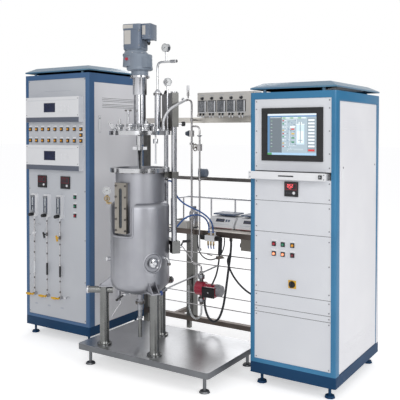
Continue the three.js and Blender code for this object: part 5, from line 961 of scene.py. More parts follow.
# %% Analyser displays
display_navy = moulded("navy display window", "#20263C", "#283050", 0.15, 3, 0.6)
print_grey = moulded("grey printed line", "#AEB3BD", "#B7BCC6", 0.5)
ANALYSER_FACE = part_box("gas_analyser_upper")[0].y
for name, low in (("upper", 1.595), ("lower", 1.247)):
    front = ANALYSER_FACE
    work = Workpiece(f"gas_analyser_{name}_window")
    work.block((-0.984, front - 0.0035, low + 0.068), (-0.86, front + 0.001, low + 0.143), case_white)
    work.block((-0.979, front - 0.004, low + 0.072), (-0.865, front - 0.003, low + 0.139), display_navy)
    for column in range(3):
        for row in range(2):
            x, z = -0.82 + column * 0.036, low + 0.084 + row * 0.03
            work.block((x - 0.012, front - 0.0022, z - 0.008), (x + 0.012, front + 0.0005, z + 0.008),
                case_white)
    work.block((-1.15, front - 0.0008, low + 0.158), (-0.66, front + 0.0003, low + 0.1592), print_grey)
    work.done("station", 0.8)
    screws(f"gas_analyser_{name}_screws", [(x, front, low + z) for x in (-1.16, -0.65)
        for z in (0.05, 0.168)], FORWARD, radius=0.0036)

# %% Pilot lamps
GAS_FACE = -0.257


def pilot_lamps(name, points, face, lens):
    """Square black bezels, domed lenses and the white plates that name them."""
    bezels = Workpiece(name + "_bezels")
    for x, z in points:
        bezels.block((x - 0.0125, face - 0.006, z - 0.015), (x + 0.0125, face + 0.0005, z + 0.0115),
            black_plastic)
        bezels.block((x - 0.015, face - 0.002, z + 0.013), (x + 0.015, face + 0.0005, z + 0.025),
            white_plastic)
    bezels.done("station", 0.8, slot="black_plastic")
    grown(name + "_lenses", studs, lens, "station", [(x, face - 0.004, z - 0.002) for x, z in points],
        FORWARD, edge_mm=1.2, Radius=0.0088, Top=0.007, Height=0.008, Sides=20, soft_deg=60)


pilot_lamps("gas_lamps", [(-1.172 + 0.06375 * i, z) for z in (1.546, 1.463) for i in range(9)]
    + [(-0.662, 1.503)], GAS_FACE, orange_lens)
for i, (z, lens) in enumerate([(1.058, green_lens), (0.993, green_lens), (0.925, red_lens)]):
    pilot_lamps(f"gas_state_lamp_{i + 1}", [(-0.722, z)], GAS_FACE, lens)

# %% Controllers with seven-segment figures
led_red, tree, shader, place = new_material("lit red figures", Roughness=0.3, Emission_Strength=1.3)
tree.links.new(tint(tree, noise(tree, place, 8, 2), "#FF5A66", "#FF8E8E"), shader.inputs["Base Color"])
shader.inputs["Emission Color"].default_value = linear("#FF5560")
SEGMENTS = {"0": "abcdef", "1": "bc", "2": "abged", "3": "abgcd", "4": "fgbc", "5": "afgcd", "6": "afgedc",
    "7": "abc", "8": "abcdefg", "9": "abcfgd"}


def figures(work, text, left, bottom, face, height, material):
    """Seven-segment figures in small bars, standing just proud of a dark window."""
    w, t = height * 0.5, height * 0.11
    bars = {"a": (0, height - t, w, t), "g": (0, (height - t) / 2, w, t), "d": (0, 0, w, t),
        "f": (0, height / 2, t, height / 2), "b": (w - t, height / 2, t, height / 2),
        "e": (0, 0, t, height / 2), "c": (w - t, 0, t, height / 2)}
    for i, figure in enumerate(text):
        for segment in SEGMENTS[figure]:
            x, z, dx, dz = bars[segment]
            x += left + i * w * 1.5
            work.block((x, face - 0.0006, bottom + z), (x + dx, face + 0.0004, bottom + z + dz), material)


def controller(name, x, z, size, face, text, lit):
    half = size / 2
    work = Workpiece(name)
    work.block((x - half, face - 0.008, z - half), (x + half, face + 0.001, z + half), black_plastic)
    work.block((x - half * 0.82, face - 0.0088, z - half * 0.12),
        (x + half * 0.82, face - 0.0075, z + half * 0.8), dark_red_lens)
    work.block((x - half * 0.74, face - 0.0092, z - half * 0.02),
        (x + half * 0.74, face - 0.0084, z + half * 0.72), shadow_black)
    figures(work, text, x - half * 0.55, z + half * 0.24, face - 0.0092, half * 0.42, lit)
    figures(work, text, x - half * 0.3, z + half * 0.02, face - 0.0092, half * 0.17, lit)
    work.turned((x + half * 0.42, face - 0.0075, z - half * 0.5), FORWARD,
        [(0.0085, 0), (0.0085, 0.003), (0.007, 0.0042)], white_plastic, 20)
    for i in range(3):
        cx = x - half * 0.62 + i * half * 0.34
        work.block((cx - 0.004, face - 0.0092, z - half * 0.62),
            (cx + 0.004, face - 0.0075, z - half * 0.44), dark_plastic)
    return work.done("station", 0.6, slot="black_plastic")


controller("gas_controller_left", -1.047, 1.157, 0.09, GAS_FACE, "370", dark_red_lens)
controller("gas_controller_right", -0.814, 1.157, 0.09, GAS_FACE, "370", dark_red_lens)
controller("vessel_controller", 0.951, 1.191, 0.086, control_face, "052", led_red)

# %% Flow meters
# A clear tapered tube stands in a frame, and a float rides up it as the gas flows faster.
scale_white = moulded("printed scale", "#DCDFE2", "#E4E6E9", 0.45)
METER_FACE = -0.287
for i in range(3):
    x = GAS_LINE_X + GAS_LINE_PITCH * i
    work = Workpiece(f"flow_meter_{i + 1}")
    work.block((x - 0.01, METER_FACE - 0.003, 0.93), (x + 0.01, METER_FACE + 0.001, 1.046), scale_white)
    for edge in (-0.0135, 0.0135):
        work.block((x + edge - 0.0022, METER_FACE - 0.012, 0.93),
            (x + edge + 0.0022, METER_FACE + 0.001, 1.046), slate_grey)
    work.turned((x, METER_FACE - 0.008, 0.93), UP, [(0.004, 0), (0.0056, 0.116)], gauge_glass, 20)
    work.turned((x, METER_FACE - 0.008, 0.968), UP, [(0.001, 0), (0.0034, 0.006), (0.0034, 0.009)],
        shadow_black, 16)
    for z in (0.9285, 1.0475):
        work.block((x - 0.0165, METER_FACE - 0.015, z - 0.006), (x + 0.0165, METER_FACE + 0.001, z + 0.006),
            fastener_steel)
    work.done("station", 0.6)
    grown(f"flow_meter_{i + 1}_scale", studs, shadow_black, "station", Radius=0.0012, Top=0.0012,
        Height=0.0006, Sides=4, points=[(x - 0.0078, METER_FACE - 0.0032, 0.94 + 0.012 * k)
        for k in range(9)], facing=FORWARD)

# %% Fittings on the gas lines
def line_ball_valve(work, x, z, material):
    work.turned((x, GAS_LINE_Y, z - 0.016), UP, [(0.0045, 0), (0.0075, 0.004), (0.0075, 0.028),
        (0.0045, 0.032)], dark_steel, 16)
    work.rod((x, GAS_LINE_Y, z), (x, -0.296, z), 0.005, fastener_steel, 14)
    work.block((x - 0.018, -0.301, z - 0.028), (x - 0.004, -0.2945, z + 0.016), material,
        Matrix.Rotation(-0.28, 3, "Y"))
    work.block((x - 0.012, -0.3, z - 0.005), (x + 0.005, -0.2945, z + 0.006), material)


work = Workpiece("gas_line_fittings")
line_ball_valve(work, -0.985, 0.771, black_plastic)
line_ball_valve(work, -0.854, 0.757, yellow_plastic)
work.turned((-1.116, GAS_LINE_Y, 0.771), FORWARD, [(0.01, -0.012), (0.01, 0.01), (0.008, 0.014)],
    white_plastic, 20)
work.tube(bent_path([(-1.116, GAS_LINE_Y, 0.838), (-1.055, GAS_LINE_Y, 0.838), (-0.985, GAS_LINE_Y, 0.838)],
    0.01), 0.003, tube_steel)
for x, low, high, material in ((-1.116, 0.47, 0.56, scale_white), (-0.985, 0.466, 0.562, black_plastic),
        (-0.854, 0.464, 0.552, black_plastic)):
    work.turned((x, GAS_LINE_Y, low), UP, [(0.0045, 0), (0.0072, 0.006), (0.0072, high - low - 0.006),
        (0.0045, high - low)], material, 18)
for x in (-1.116, -0.985, -0.854):
    for z in (0.862, 0.7, 0.62, 0.43, 0.352):
        work.turned((x, GAS_LINE_Y, z), UP, [(0.0052, 0), (0.0052, 0.012)], dark_steel, 6)
work.turned((-0.792, -0.258, 0.324), FORWARD, [(0.009, 0), (0.009, 0.006), (0.005, 0.008), (0.005, 0.024),
    (0.007, 0.026), (0.007, 0.032)], polished_steel, 18)
work.done("station", 0.4)
for i in range(3):
    x = GAS_LINE_X + GAS_LINE_PITCH * i
    label = Workpiece(f"gas_line_label_{i + 1}")
    label.block((x - 0.014, GAS_FACE - 0.0008, 0.232), (x + 0.014, GAS_FACE + 0.0004, 0.243), print_grey)
    label.done("station", 0.2)
for i in range(3):
    low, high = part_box(f"gas_valve_handle_{i + 1}")
    grip = Workpiece(f"gas_valve_grip_{i + 1}")
    grip.turned((low.x + 0.05, low.y + 0.0035, (low.z + high.z) / 2), (-1, 0, 0),
        [(0.005, 0), (0.009, 0.008), (0.01, 0.026), (0.0075, 0.042), (0.003, 0.0495)], yellow_plastic, 20)
    grip.done(BODY[f"gas_valve_handle_{i + 1}"], 0, slot="yellow_plastic")
heading = Workpiece("bare_heading_plate")
heading.block((-1.03, GAS_FACE - 0.0012, 1.822), (-0.76, GAS_FACE + 0.0004, 1.8235), print_grey)
heading.done("station", 0.2)
print("gas cabinet front done")

# %% [markdown]
# ## Control cabinet front
# A panel computer shows the process, a keyboard drawer sits under it, and below are a
# controller, six lamps and the main switch on its yellow plate. The screen's picture is a
# generic process display: a vessel with its lines, columns of fields and buttons.

# %% The screen
screen_glass, tree, shader, place = new_material("lit LCD picture", Roughness=0.22, Specular_IOR_Level=0.4,
    Emission_Strength=0.35, Coat_Weight=0.3, Coat_Roughness=0.05)
paint = add(tree, "ShaderNodeVertexColor", layer_name="picture").outputs["Color"]
grid = noise(tree, place, 1.2, 1)
dimmed = add(tree, "ShaderNodeMix", {0: spread(tree, grid, 0.0, 0.08), 6: paint, 7: linear("#3A4654")},
    data_type="RGBA")
tree.links.new(dimmed.outputs[2], shader.inputs["Base Color"])
tree.links.new(dimmed.outputs[2], shader.inputs["Emission Color"])

PICTURE = [  # left, bottom, right, top in shares of the screen, and a colour
    (0, 0, 1, 1, "#A9BAC4"), (0, 0.955, 1, 1, "#DDE7EE"), (0, 0.925, 1, 0.955, "#5F87B4"),
    (0, 0, 1, 0.055, "#A9CBE6"), (0.0, 0.055, 0.045, 0.925, "#5B86AE"),
    (0.045, 0.055, 0.3, 0.925, "#6C767E"), (0.82, 0.08, 0.985, 0.9, "#8E9CA5"),
    (0.055, 0.9, 0.28, 0.915, "#C7D3DA"), (0.3, 0.88, 0.8, 0.915, "#CFE0D6"),
    (0.0, 0.0, 0.09, 0.05, "#4F9A62"), (0.6, 0.26, 0.76, 0.74, "#CFE3EE"),
    (0.615, 0.3, 0.745, 0.58, "#E9F4F8"), (0.645, 0.74, 0.715, 0.8, "#DCE6EA"),
    (0.595, 0.735, 0.765, 0.752, "#EEF4F6"), (0.672, 0.3, 0.688, 0.8, "#88979F"),
    (0.635, 0.35, 0.725, 0.37, "#9AA7AE"), (0.47, 0.66, 0.58, 0.7, "#F2F5F6"),
    (0.49, 0.61, 0.56, 0.64, "#D8403F"), (0.4, 0.62, 0.405, 0.86, "#E8EEF0"),
    (0.4, 0.855, 0.6, 0.861, "#E8EEF0"), (0.6, 0.76, 0.605, 0.861, "#E8EEF0"),
    (0.46, 0.22, 0.6, 0.226, "#E8EEF0"), (0.46, 0.226, 0.465, 0.6, "#E8EEF0"),
    (0.5, 0.3, 0.56, 0.33, "#3E8E5A"), (0.5, 0.4, 0.56, 0.43, "#3E8E5A"), (0.5, 0.5, 0.56, 0.53, "#D9B13C"),
    (0.84, 0.1, 0.965, 0.145, "#D8403F"), (0.42, 0.12, 0.74, 0.16, "#B9C8D0"),
]
FIELD_ROWS, TOP_ROW, ROW_STEP = 9, 0.82, 0.078
for row in range(FIELD_ROWS):
    z = TOP_ROW - row * ROW_STEP
    PICTURE.append((0.84, z, 0.965, z + 0.042, "#EEF2F4"))
    PICTURE.append((0.315, z, 0.345, z + 0.028, ["#B8463F", "#3F9460", "#E6ECEE", "#C9A43A"][row % 4]))
    PICTURE.append((0.355, z + 0.004, 0.39, z + 0.024, "#DDE5E9"))
    PICTURE.append((0.07, z, 0.1, z + 0.012, ["#9AC2A6", "#C9D3D8"][row % 2]))
SMALL_FIELDS, STATUS_FIELDS = 34, 6
for k in range(SMALL_FIELDS):
    x, z = 0.41 + 0.023 * (k * 5 % 8), 0.1 + 0.021 * (k * 17 % 36)
    PICTURE.append((x, z, x + 0.016, z + 0.012,
        ["#DCE4E8", "#5E6A74", "#7FA68C", "#C8D4DC", "#4E6C96"][k % 5]))
for k in range(STATUS_FIELDS):
    PICTURE.append((0.32 + 0.08 * k, 0.885, 0.375 + 0.08 * k, 0.908, ["#7FB08C", "#E4EAEC"][k % 2]))
SCREEN_LEFT, SCREEN_WIDTH, SCREEN_BOTTOM, SCREEN_HEIGHT = 0.7985, 0.308, 1.39, 0.241
screen_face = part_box("panel_computer")[0].y + 0.003 - 0.0004
form = bmesh.new()
ink = form.loops.layers.float_color.new("picture")
for level, (x0, z0, x1, z1, colour) in enumerate(PICTURE):
    front = screen_face - 0.00003 * level
    back = screen_face + 0.0003
    ring = [(SCREEN_LEFT + SCREEN_WIDTH * x, SCREEN_BOTTOM + SCREEN_HEIGHT * z) for x,
        z in ((x0, z0), (x1, z0), (x1, z1), (x0, z1))]
    near = [form.verts.new((x, front, z)) for x, z in ring]
    far = [form.verts.new((x, back, z)) for x, z in ring]
    faces = [form.faces.new(near), form.faces.new(list(reversed(far)))]
    faces += [form.faces.new((near[k], far[k], far[(k + 1) % 4], near[(k + 1) % 4])) for k in range(4)]
    for face in faces:
        for corner in face.loops:
            corner[ink] = linear(colour)
bmesh.ops.recalc_face_normals(form, faces=form.faces)
mesh = bpy.data.meshes.new("process_display")
form.to_mesh(mesh)
form.free()
settle(mesh, "process_display", [screen_glass], "station", 0, 30)
print("screen has", len(PICTURE), "fields")

# %% Bezel, drawer, lamps and main switch
bezel = Workpiece("screen_bezel")
bezel_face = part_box("panel_computer")[0].y
for low, high in (((0.7585 + 0.004, 1.355 + 0.004), (1.1465 - 0.004, 1.381)),
        ((0.7625, 1.64), (1.1425, 1.662)), ((0.7625, 1.381), (0.79, 1.64)),
        ((1.115, 1.381), (1.1425, 1.64))):
    bezel.block((low[0], bezel_face - 0.0015, low[1]), (high[0], bezel_face + 0.0005, high[1]),
        black_plastic)
bezel.done("station", 0.8, slot="bezel")

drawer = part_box("keyboard_drawer")
pull = Workpiece("drawer_trim")
pull.block((0.905, drawer[0].y - 0.001, 1.268), (1.000, drawer[0].y + 0.0005, 1.2755), shadow_black)
pull.block((1.152, drawer[0].y - 0.006, 1.262), (1.172, drawer[0].y + 0.0005, 1.284), black_plastic)
pull.turned((1.162, drawer[0].y - 0.005, 1.273), FORWARD, [(0.006, 0), (0.006, 0.004), (0.005, 0.005)],
    fastener_steel, 16)
pull.done("keyboard_drawer", 0.5)
screws("drawer_screws", [(x, drawer[0].y, z) for x in (control_left, control_right) for z in (1.26, 1.285)],
    FORWARD, "keyboard_drawer", 0.0034)

lit_red, tree, shader, place = new_material("lit red lens", Roughness=0.2, Emission_Strength=0.9,
    Coat_Weight=0.5)
tree.links.new(tint(tree, noise(tree, place, 5, 2), "#FF9A70", "#FFC49A"), shader.inputs["Base Color"])
shader.inputs["Emission Color"].default_value = linear("#FF7A50")
for i, (x, z, lens) in enumerate([(0.839, 0.864, red_lens), (0.897, 0.864, green_lens),
        (0.958, 0.864, orange_lens), (0.839, 0.806, lit_red), (0.897, 0.806, lit_red),
        (0.958, 0.806, dark_red_lens)]):
    pilot_lamps(f"control_lamp_{i + 1}", [(x, z)], control_face, lens)

plate = Workpiece("main_switch_plate")
plate.block((0.9325, control_face - 0.0022, 0.61), (0.9815, control_face + 0.0003, 0.658), yellow_plastic)
plate.done("station", 0.8, slot="yellow_plastic")
print("control cabinet front done")

# %% [markdown]
# ## The vessel
# The vessel stands on three legs, two of them with short tubes through them. Turned parts are made round
# here: the CAD solids have few sides to keep them light. Places are given the way a vessel
# drawing gives them, as an angle round the axis, a distance from it and a height.

# %% Legs and drain
def around(angle, distance, z):
    """A point in metres from an angle in degrees round the vessel's axis, and two lengths in millimetres."""
    a = math.radians(angle)
    return Vector((AXIS[0] + distance / 1000 * math.cos(a), AXIS[1] + distance / 1000 * math.sin(a),
        z / 1000))


def outward(angle):
    return Vector((math.cos(math.radians(angle)), math.sin(math.radians(angle)), 0))


for i, angle in enumerate((90, 210, 330)):
    foot = around(angle, 234, 140.3)
    leg = Workpiece(f"leg_{i + 1}_finished")
    leg.turned(foot, UP, [(0.048, 0), (0.048, 0.0095), (0.0372, 0.0105), (0.0302, 0.026), (0.0302, 0.3794)],
        leg_steel, 40)
    if angle != 330:
        leg.turned(around(angle, 178, 497), outward(angle), [(0.022, 0), (0.022, 0.16)], leg_steel, 36)
        leg.turned(around(angle, 336, 497), outward(angle), [(0.026, 0), (0.026, 0.012), (0.0245, 0.0139)],
            tube_steel, 36)
    for turn in range(4):
        bolt = around(angle, 234, 150) + outward(angle + 45 + 90 * turn) * 0.0425
        leg.turned(bolt, UP, [(0.0042, -0.001), (0.0042, 0.004)], fastener_steel, 6)
    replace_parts(leg.done(BODY[f"leg_{i + 1}"], 0.6, slot="polished_steel"), f"leg_{i + 1}")

drain = Workpiece("drain_valve_finished")
drain.turned(around(0, 0, 190), UP, [(0.0125, 0), (0.0125, 0.128)], leg_steel, 24)
drain.turned(around(0, 0, 311.7), UP, [(0.018, 0), (0.018, 0.009), (0.013, 0.012), (0.013, 0.052),
    (0.019, 0.055), (0.019, 0.096)], fastener_steel, 28)
drain.turned(around(0, 0, 405.9), UP, [(0.0285, 0), (0.0302, 0.004), (0.0302, 0.016), (0.0285, 0.0196)],
    dark_steel, 36)
drain.rod(around(-60, 28, 416), around(-60, 52, 416), 0.0035, fastener_steel, 12)
drain.block(around(-60, 44, 408) - Vector((0.003, 0.01, 0)),
    around(-60, 44, 424) + Vector((0.003, 0.01, 0)), fastener_steel)
drain.rod((-0.096, -0.497, 0.486), (-0.02, -0.462, 0.508), 0.0088, polished_steel, 18)
drain.rod((-0.072, -0.486, 0.4935), (-0.052, -0.477, 0.499), 0.012, fastener_steel, 6)
drain.tube(bent_path([(-0.108, -0.498, 0.452), (-0.11, -0.494, 0.43), (-0.15, -0.492, 0.385),
    (-0.182, -0.49, 0.338)], 0.02), 0.0032, polished_steel, 10)
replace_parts(drain.done(BODY["drain_valve"], 0.5, slot="polished_steel"), "drain_valve")

# %% Flange, sight glass and ports
rim = Workpiece("vessel_flange_rim")
rim.collar(AXIS, UP, [(0.184, 1.2682), (0.1926, 1.2682), (0.1926, 1.2845), (0.1908, 1.2855),
    (0.1908, 1.2885), (0.1926, 1.2895), (0.1926, 1.2948), (0.184, 1.2948)], polished_steel, 96)
rim.collar(AXIS, UP, [(0.19, 1.2856), (0.19105, 1.2856), (0.19105, 1.2884), (0.19, 1.2884)], black_plastic,
    96)
rim.done("station", 0.4, slot="polished_steel")
grown("vessel_flange_nuts", bolt_ring, dark_steel, "station", Count=16, Ring=0.176, Radius=0.0085,
    Height=0.01, place=Matrix.Translation((AXIS[0], AXIS[1], 1.263)))

SIGHT = -94


def pill(width, height, steps=10):
    """An upright outline with round ends, as (across, up) pairs about its middle."""
    r, straight = width / 2, height / 2 - width / 2
    ends = []
    for sign in (1, -1):
        for i in range(steps + 1):
            a = math.pi * i / steps
            ends.append((r * math.cos(a) * sign, (straight + r * math.sin(a)) * sign))
    return ends


def on_sight(across, z, distance):
    return around(SIGHT, distance, z) + outward(SIGHT + 90) * across / 1000


sight = Workpiece("sight_glass")
side = -outward(SIGHT + 90)
# The slab in the sight glass is painted shade: the dark inside of the vessel.
sight.slab(pill(0.0265, 0.2515), on_sight(0, 1045.5, 170), 0.009, sight_glass_shade, outward(SIGHT), side)
for i in range(5):
    for across in (-40, 40):
        z = 905 + 70.25 * i
        sight.turned(on_sight(across, z, 184), outward(SIGHT),
            [(0.0068, -0.001), (0.0068, 0.0045), (0.0055, 0.006)], dark_steel, 20)
        sight.turned(on_sight(across, z, 190), outward(SIGHT), [(0.0034, -0.001), (0.0034, 0.0003)],
            shadow_black, 6)
sight.done("station", 0.4)

ports = Workpiece("vessel_ports")
for angle, z, reach, bore, lip in ((210, 698, 222, 0.009, 0.0172), (55.7, 872, 214, 0.006, 0.0132),
        (46, 1203, 182, 0.006, 0.0132)):
    ports.collar(around(angle, reach, z), outward(angle), [(bore, -0.012), (lip, -0.012), (lip, -0.003),
        (lip - 0.002, 0.0008), (bore, 0.0008)], polished_steel, 40)
PORT_ANGLE, PORT_Z = -26, 702
cap = around(PORT_ANGLE, 196, PORT_Z)
ports.turned(cap, outward(PORT_ANGLE), [(0.0225, -0.026), (0.0225, -0.013), (0.0295, -0.012),
    (0.0295, -0.001), (0.027, 0.0045), (0.019, 0.008), (0.011, 0.0085), (0.011, 0.018), (0.008, 0.021)],
    polished_steel, 40)
ports.collar(cap, outward(PORT_ANGLE), [(0.029, -0.01), (0.0325, -0.0085), (0.0325, -0.0035),
    (0.029, -0.002)], fastener_steel, 40)
for lean in (-0.9, 0.5):
    lug = cap + outward(PORT_ANGLE + 90) * 0.034 * math.cos(lean) + Vector((0, 0, 0.034 * math.sin(lean)))
    ports.turned(lug, outward(PORT_ANGLE), [(0.0075, -0.01), (0.0075, 0.006), (0.005, 0.0085)],
        polished_steel, 16)
elbow = bent_path([around(2, 186, 724), around(2, 214, 724), around(6, 216, 689)], 0.016)
ports.turned(around(2, 184, 724), outward(2), [(0.013, 0), (0.013, 0.012), (0.009, 0.013)], polished_steel,
    24)
ports.tube(elbow, 0.0075, polished_steel, 18)
ports.turned(around(6, 216, 691), DOWN, [(0.0115, 0), (0.0115, 0.014)], dark_steel, 24)
ports.done("station", 0.4, slot="polished_steel")

# %% Pressure gauges
# A gauge is a grey steel case with a bright bezel. Inside the bezel is a white dial whose marks
# sweep three quarters of the way round, from zero at the lower left.
dial_white = moulded("pale enamelled dial", "#D3D5D6", "#DCDEDE", 0.4)
FACING = Vector((0.6157, -0.788, 0))


def dial_gauge(name, centre, body, stem_bottom, share, stem=brass, facing=FACING):
    """share is how far the needle has swept. The stem runs down to stem_bottom, in metres."""
    centre = Vector(centre)
    work = Workpiece(name)
    work.turned(centre, facing, [(0.024, -0.0136), (0.0274, -0.011), (0.0274, 0.0118)], fastener_steel, 40)
    work.collar(centre, facing, [(0.0274, 0.01), (0.0281, 0.0108), (0.0278, 0.015), (0.024, 0.015),
        (0.024, 0.01)], polished_steel, 48)
    work.turned(centre, facing, [(0.0245, 0.0118), (0.0245, 0.0137)], dial_white, 40)
    spin = facing.to_track_quat("Z", "Y")
    a = math.radians(225 - 270 * share)
    across, up = spin @ Vector(RIGHT), spin @ Vector(BACKWARD)
    tip = across * math.cos(a) + up * math.sin(a)
    hub = centre + facing * 0.0144
    work.rod(hub - tip * 0.006, hub + tip * 0.018, 0.0008, shadow_black, 6, 0.0003)
    work.turned(centre, facing, [(0.0026, 0.0135), (0.0026, 0.0152)], shadow_black, 16)
    foot = centre - above(0.0255)
    work.rod(foot, (centre.x, centre.y, stem_bottom), 0.0054, stem, 20)
    work.turned(foot, DOWN, [(0.0088, 0.002), (0.0088, 0.014)], stem, 6)
    work.done(body, 0.3)
    turn = spin.to_matrix().to_4x4() @ Matrix.Rotation(math.radians(-45), 4, "Z")
    grown(name + "_marks", marks, shadow_black, body, Count=41, Ring=0.0205, Length=0.003, Width=0.0006,
        place=Matrix.Translation(centre + facing * 0.0138) @ turn)


dial_gauge("jacket_gauge", (-0.2375, -0.4736, 1.145), "station", 1.063, 0.12)
dial_gauge("lid_gauge", (0.1208, -0.2989, 1.8433), "lid_assembly", 1.5313, 0.05, polished_steel)
dial_gauge("exhaust_gauge", (0.1223, -0.316, 2.061), "lid_assembly", 1.972, 0.05, polished_steel,
    Vector((-0.1, -0.995, 0)))
GAUGE_ANGLE, GAUGE_Z = 213, 1063
siphon = Workpiece("jacket_gauge_siphon")
turns = [around(GAUGE_ANGLE, 214 + 16 * math.sin(a), 1092 - 16 * math.cos(a))
    for a in (2 * math.pi * i / 20 for i in range(21))]
siphon.tube([p + outward(GAUGE_ANGLE + 90) * 0.012 * i / 20 for i, p in enumerate(turns)], 0.0042, brass,
    10)
siphon.rod(around(GAUGE_ANGLE, 184, GAUGE_Z), around(GAUGE_ANGLE, 217, GAUGE_Z), 0.0056, brass, 16)
siphon.turned(around(GAUGE_ANGLE, 196, GAUGE_Z), outward(GAUGE_ANGLE), [(0.0095, 0), (0.0095, 0.012)],
    brass, 6)
siphon.done("station", 0.2)
BEAD_ANGLE, BEAD_REACH = -66.3, 187.5
bead = [around(BEAD_ANGLE, BEAD_REACH, 1052 - 19 * i) for i in range(10)]
bead += [around(BEAD_ANGLE - a, BEAD_REACH, z) for a, z in ((0.7, 874), (2.2, 869.5), (4.4, 867))]
bead += [around(-71.5 - 2.5 * i, BEAD_REACH, 866.5) for i in range(1, 19)]
weld = Workpiece("jacket_window_bead").tube(bead, 0.0068, blasted_steel, 14)


JACKET_RADIUS, JACKET_FLOOR = 190, 166


def on_dimple(radius, depth, turn):
    """A point of the round dent, measured from the jacket's curved face."""
    across, up = radius * math.cos(turn), radius * math.sin(turn)
    distance = max(math.sqrt(JACKET_RADIUS ** 2 - across ** 2) + depth, JACKET_FLOOR)
    return around(PORT_ANGLE, distance, PORT_Z + up) + outward(PORT_ANGLE + 90) * across / 1000


dent = [(69, -3.0), (66, 0.8), (63, 2.8), (60, 2.6), (57, 0), (53, -7), (47, -16), (41, -22), (34, -24),
    (20, -24)]
turns = [2 * math.pi * k / 64 for k in range(64)]
weld.rings([[on_dimple(radius, depth, t) for t in turns] for radius, depth in dent], blasted_steel)
weld.done("station", 0, 60, slot="blasted_steel")
print("vessel details done")

# %% [markdown]
# ## Lid, condenser and drive
# Small clamped nozzles, a bail handle and wing bolts crowd the lid. The gear case is a
# casting, so it gets generous rounds.

# %% Fittings on the lid
LID_TOP = 1531.3
fittings = Workpiece("lid_fittings")
for i, (angle, distance) in enumerate(((200, 132), (238, 138), (282, 140), (325, 138), (100, 140),
        (150, 130))):
    base = around(angle, distance, LID_TOP)
    fittings.turned(base, UP, [(0.0185, 0), (0.0185, 0.004), (0.0146, 0.005), (0.0146, 0.025),
        (0.0215, 0.0262), (0.0226, 0.03), (0.0226, 0.04), (0.0205, 0.0445), (0.012, 0.0452)],
        polished_steel, 32)
    fittings.collar(base, UP, [(0.0215, 0.0325), (0.0242, 0.0325), (0.0242, 0.0385), (0.0215, 0.0385)],
        fastener_steel, 32)
    out = outward(angle + 70)
    fittings.rod(base + out * 0.023 + above(0.0355), base + out * 0.04 + above(0.0355), 0.003,
        fastener_steel, 10)
    wing = base + out * 0.036 + above(0.0355)
    fittings.block(wing - Vector((0.003, 0.003, 0.009)), wing + Vector((0.003, 0.003, 0.009)),
        fastener_steel)
    if i in (1, 3):
        fittings.turned(base, UP, [(0.01, 0.045), (0.01, 0.062), (0.006, 0.064), (0.006, 0.074)],
            polished_steel, 20)
stem = around(-100, 100, LID_TOP)
fittings.turned(stem, UP, [(0.0125, 0), (0.0125, 0.01), (0.0074, 0.012), (0.0074, 0.1335)], tube_steel, 24)
bar_middle = around(-100, 100, LID_TOP + 130)
fittings.rod(bar_middle - Vector((0.0245, 0, 0)), bar_middle + Vector((0.0245, 0, 0)), 0.0056, dark_steel,
    16)
exhaust = Vector((0.12, -0.343, LID_TOP / 1000))
fittings.turned(exhaust, UP, [(0.015, 0), (0.015, 0.006), (0.0095, 0.008), (0.0095, 0.03)], polished_steel,
    24)
for angle, distance in ((32.7, 80), (212.7, 66), (122.7, 66), (302.7, 66)):
    post = around(angle, distance, LID_TOP)
    fittings.rod(post, post + above(0.04), 0.0045, fastener_steel, 14)
    fittings.turned(post + above(0.028), UP, [(0.008, 0), (0.006, 0.01)], fastener_steel, 16)
    for sign in (-1, 1):
        wing = post + outward(angle + 57) * 0.012 * sign + above(0.034)
        fittings.block(wing - Vector((0.004, 0.004, 0.004)), wing + Vector((0.004, 0.004, 0.009)),
            fastener_steel)
fittings.done("lid_assembly", 0.5, slot="polished_steel")
grown("lid_bolts", bolt_ring, fastener_steel, "lid_assembly", Count=16, Ring=0.182, Radius=0.0075,
    Height=0.007, place=Matrix.Translation((AXIS[0], AXIS[1], 1.5348)))
grown("neck_bolts", bolt_ring, fastener_steel, "lid_assembly", Count=6, Ring=0.0455, Radius=0.0042,
    Height=0.005, place=Matrix.Translation((AXIS[0], AXIS[1], 1.575)))
grown("drive_flange_bolts", bolt_ring, dark_steel, "lid_assembly", Count=6, Ring=0.0555, Radius=0.0055,
    Height=0.008, place=Matrix.Translation((AXIS[0], AXIS[1], 1.87)))

# %% Condenser
foot = around(20, 120, 1545.6)
condenser = Workpiece("condenser_finished")
condenser.turned(foot, UP, [(0.0255, 0), (0.0255, 0.012), (0.0197, 0.0128), (0.0197, 0.213),
    (0.0265, 0.214), (0.0265, 0.2312), (0.0197, 0.232), (0.0197, 0.2374), (0.0072, 0.2534)], tube_steel, 40)
condenser.collar(foot, UP, [(0.0262, 0.219), (0.0285, 0.219), (0.0285, 0.2265), (0.0262, 0.2265)],
    dark_steel, 40)
bend = bent_path([foot + above(0.245), (foot.x, foot.y, 1.972), (foot.x + 0.15, foot.y, 1.972)], 0.034, 8)
condenser.tube(bend, 0.0072, polished_steel, 20)
condenser.turned((foot.x + 0.104, foot.y, 1.972), RIGHT, [(0.0112, 0), (0.0112, 0.03)], fastener_steel, 6)
condenser.turned((foot.x + 0.1445, foot.y, 1.972), RIGHT, [(0.01, 0), (0.01, 0.005)], polished_steel, 24)
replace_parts(condenser.done(BODY["condenser"], 0.4, slot="polished_steel"), "condenser")

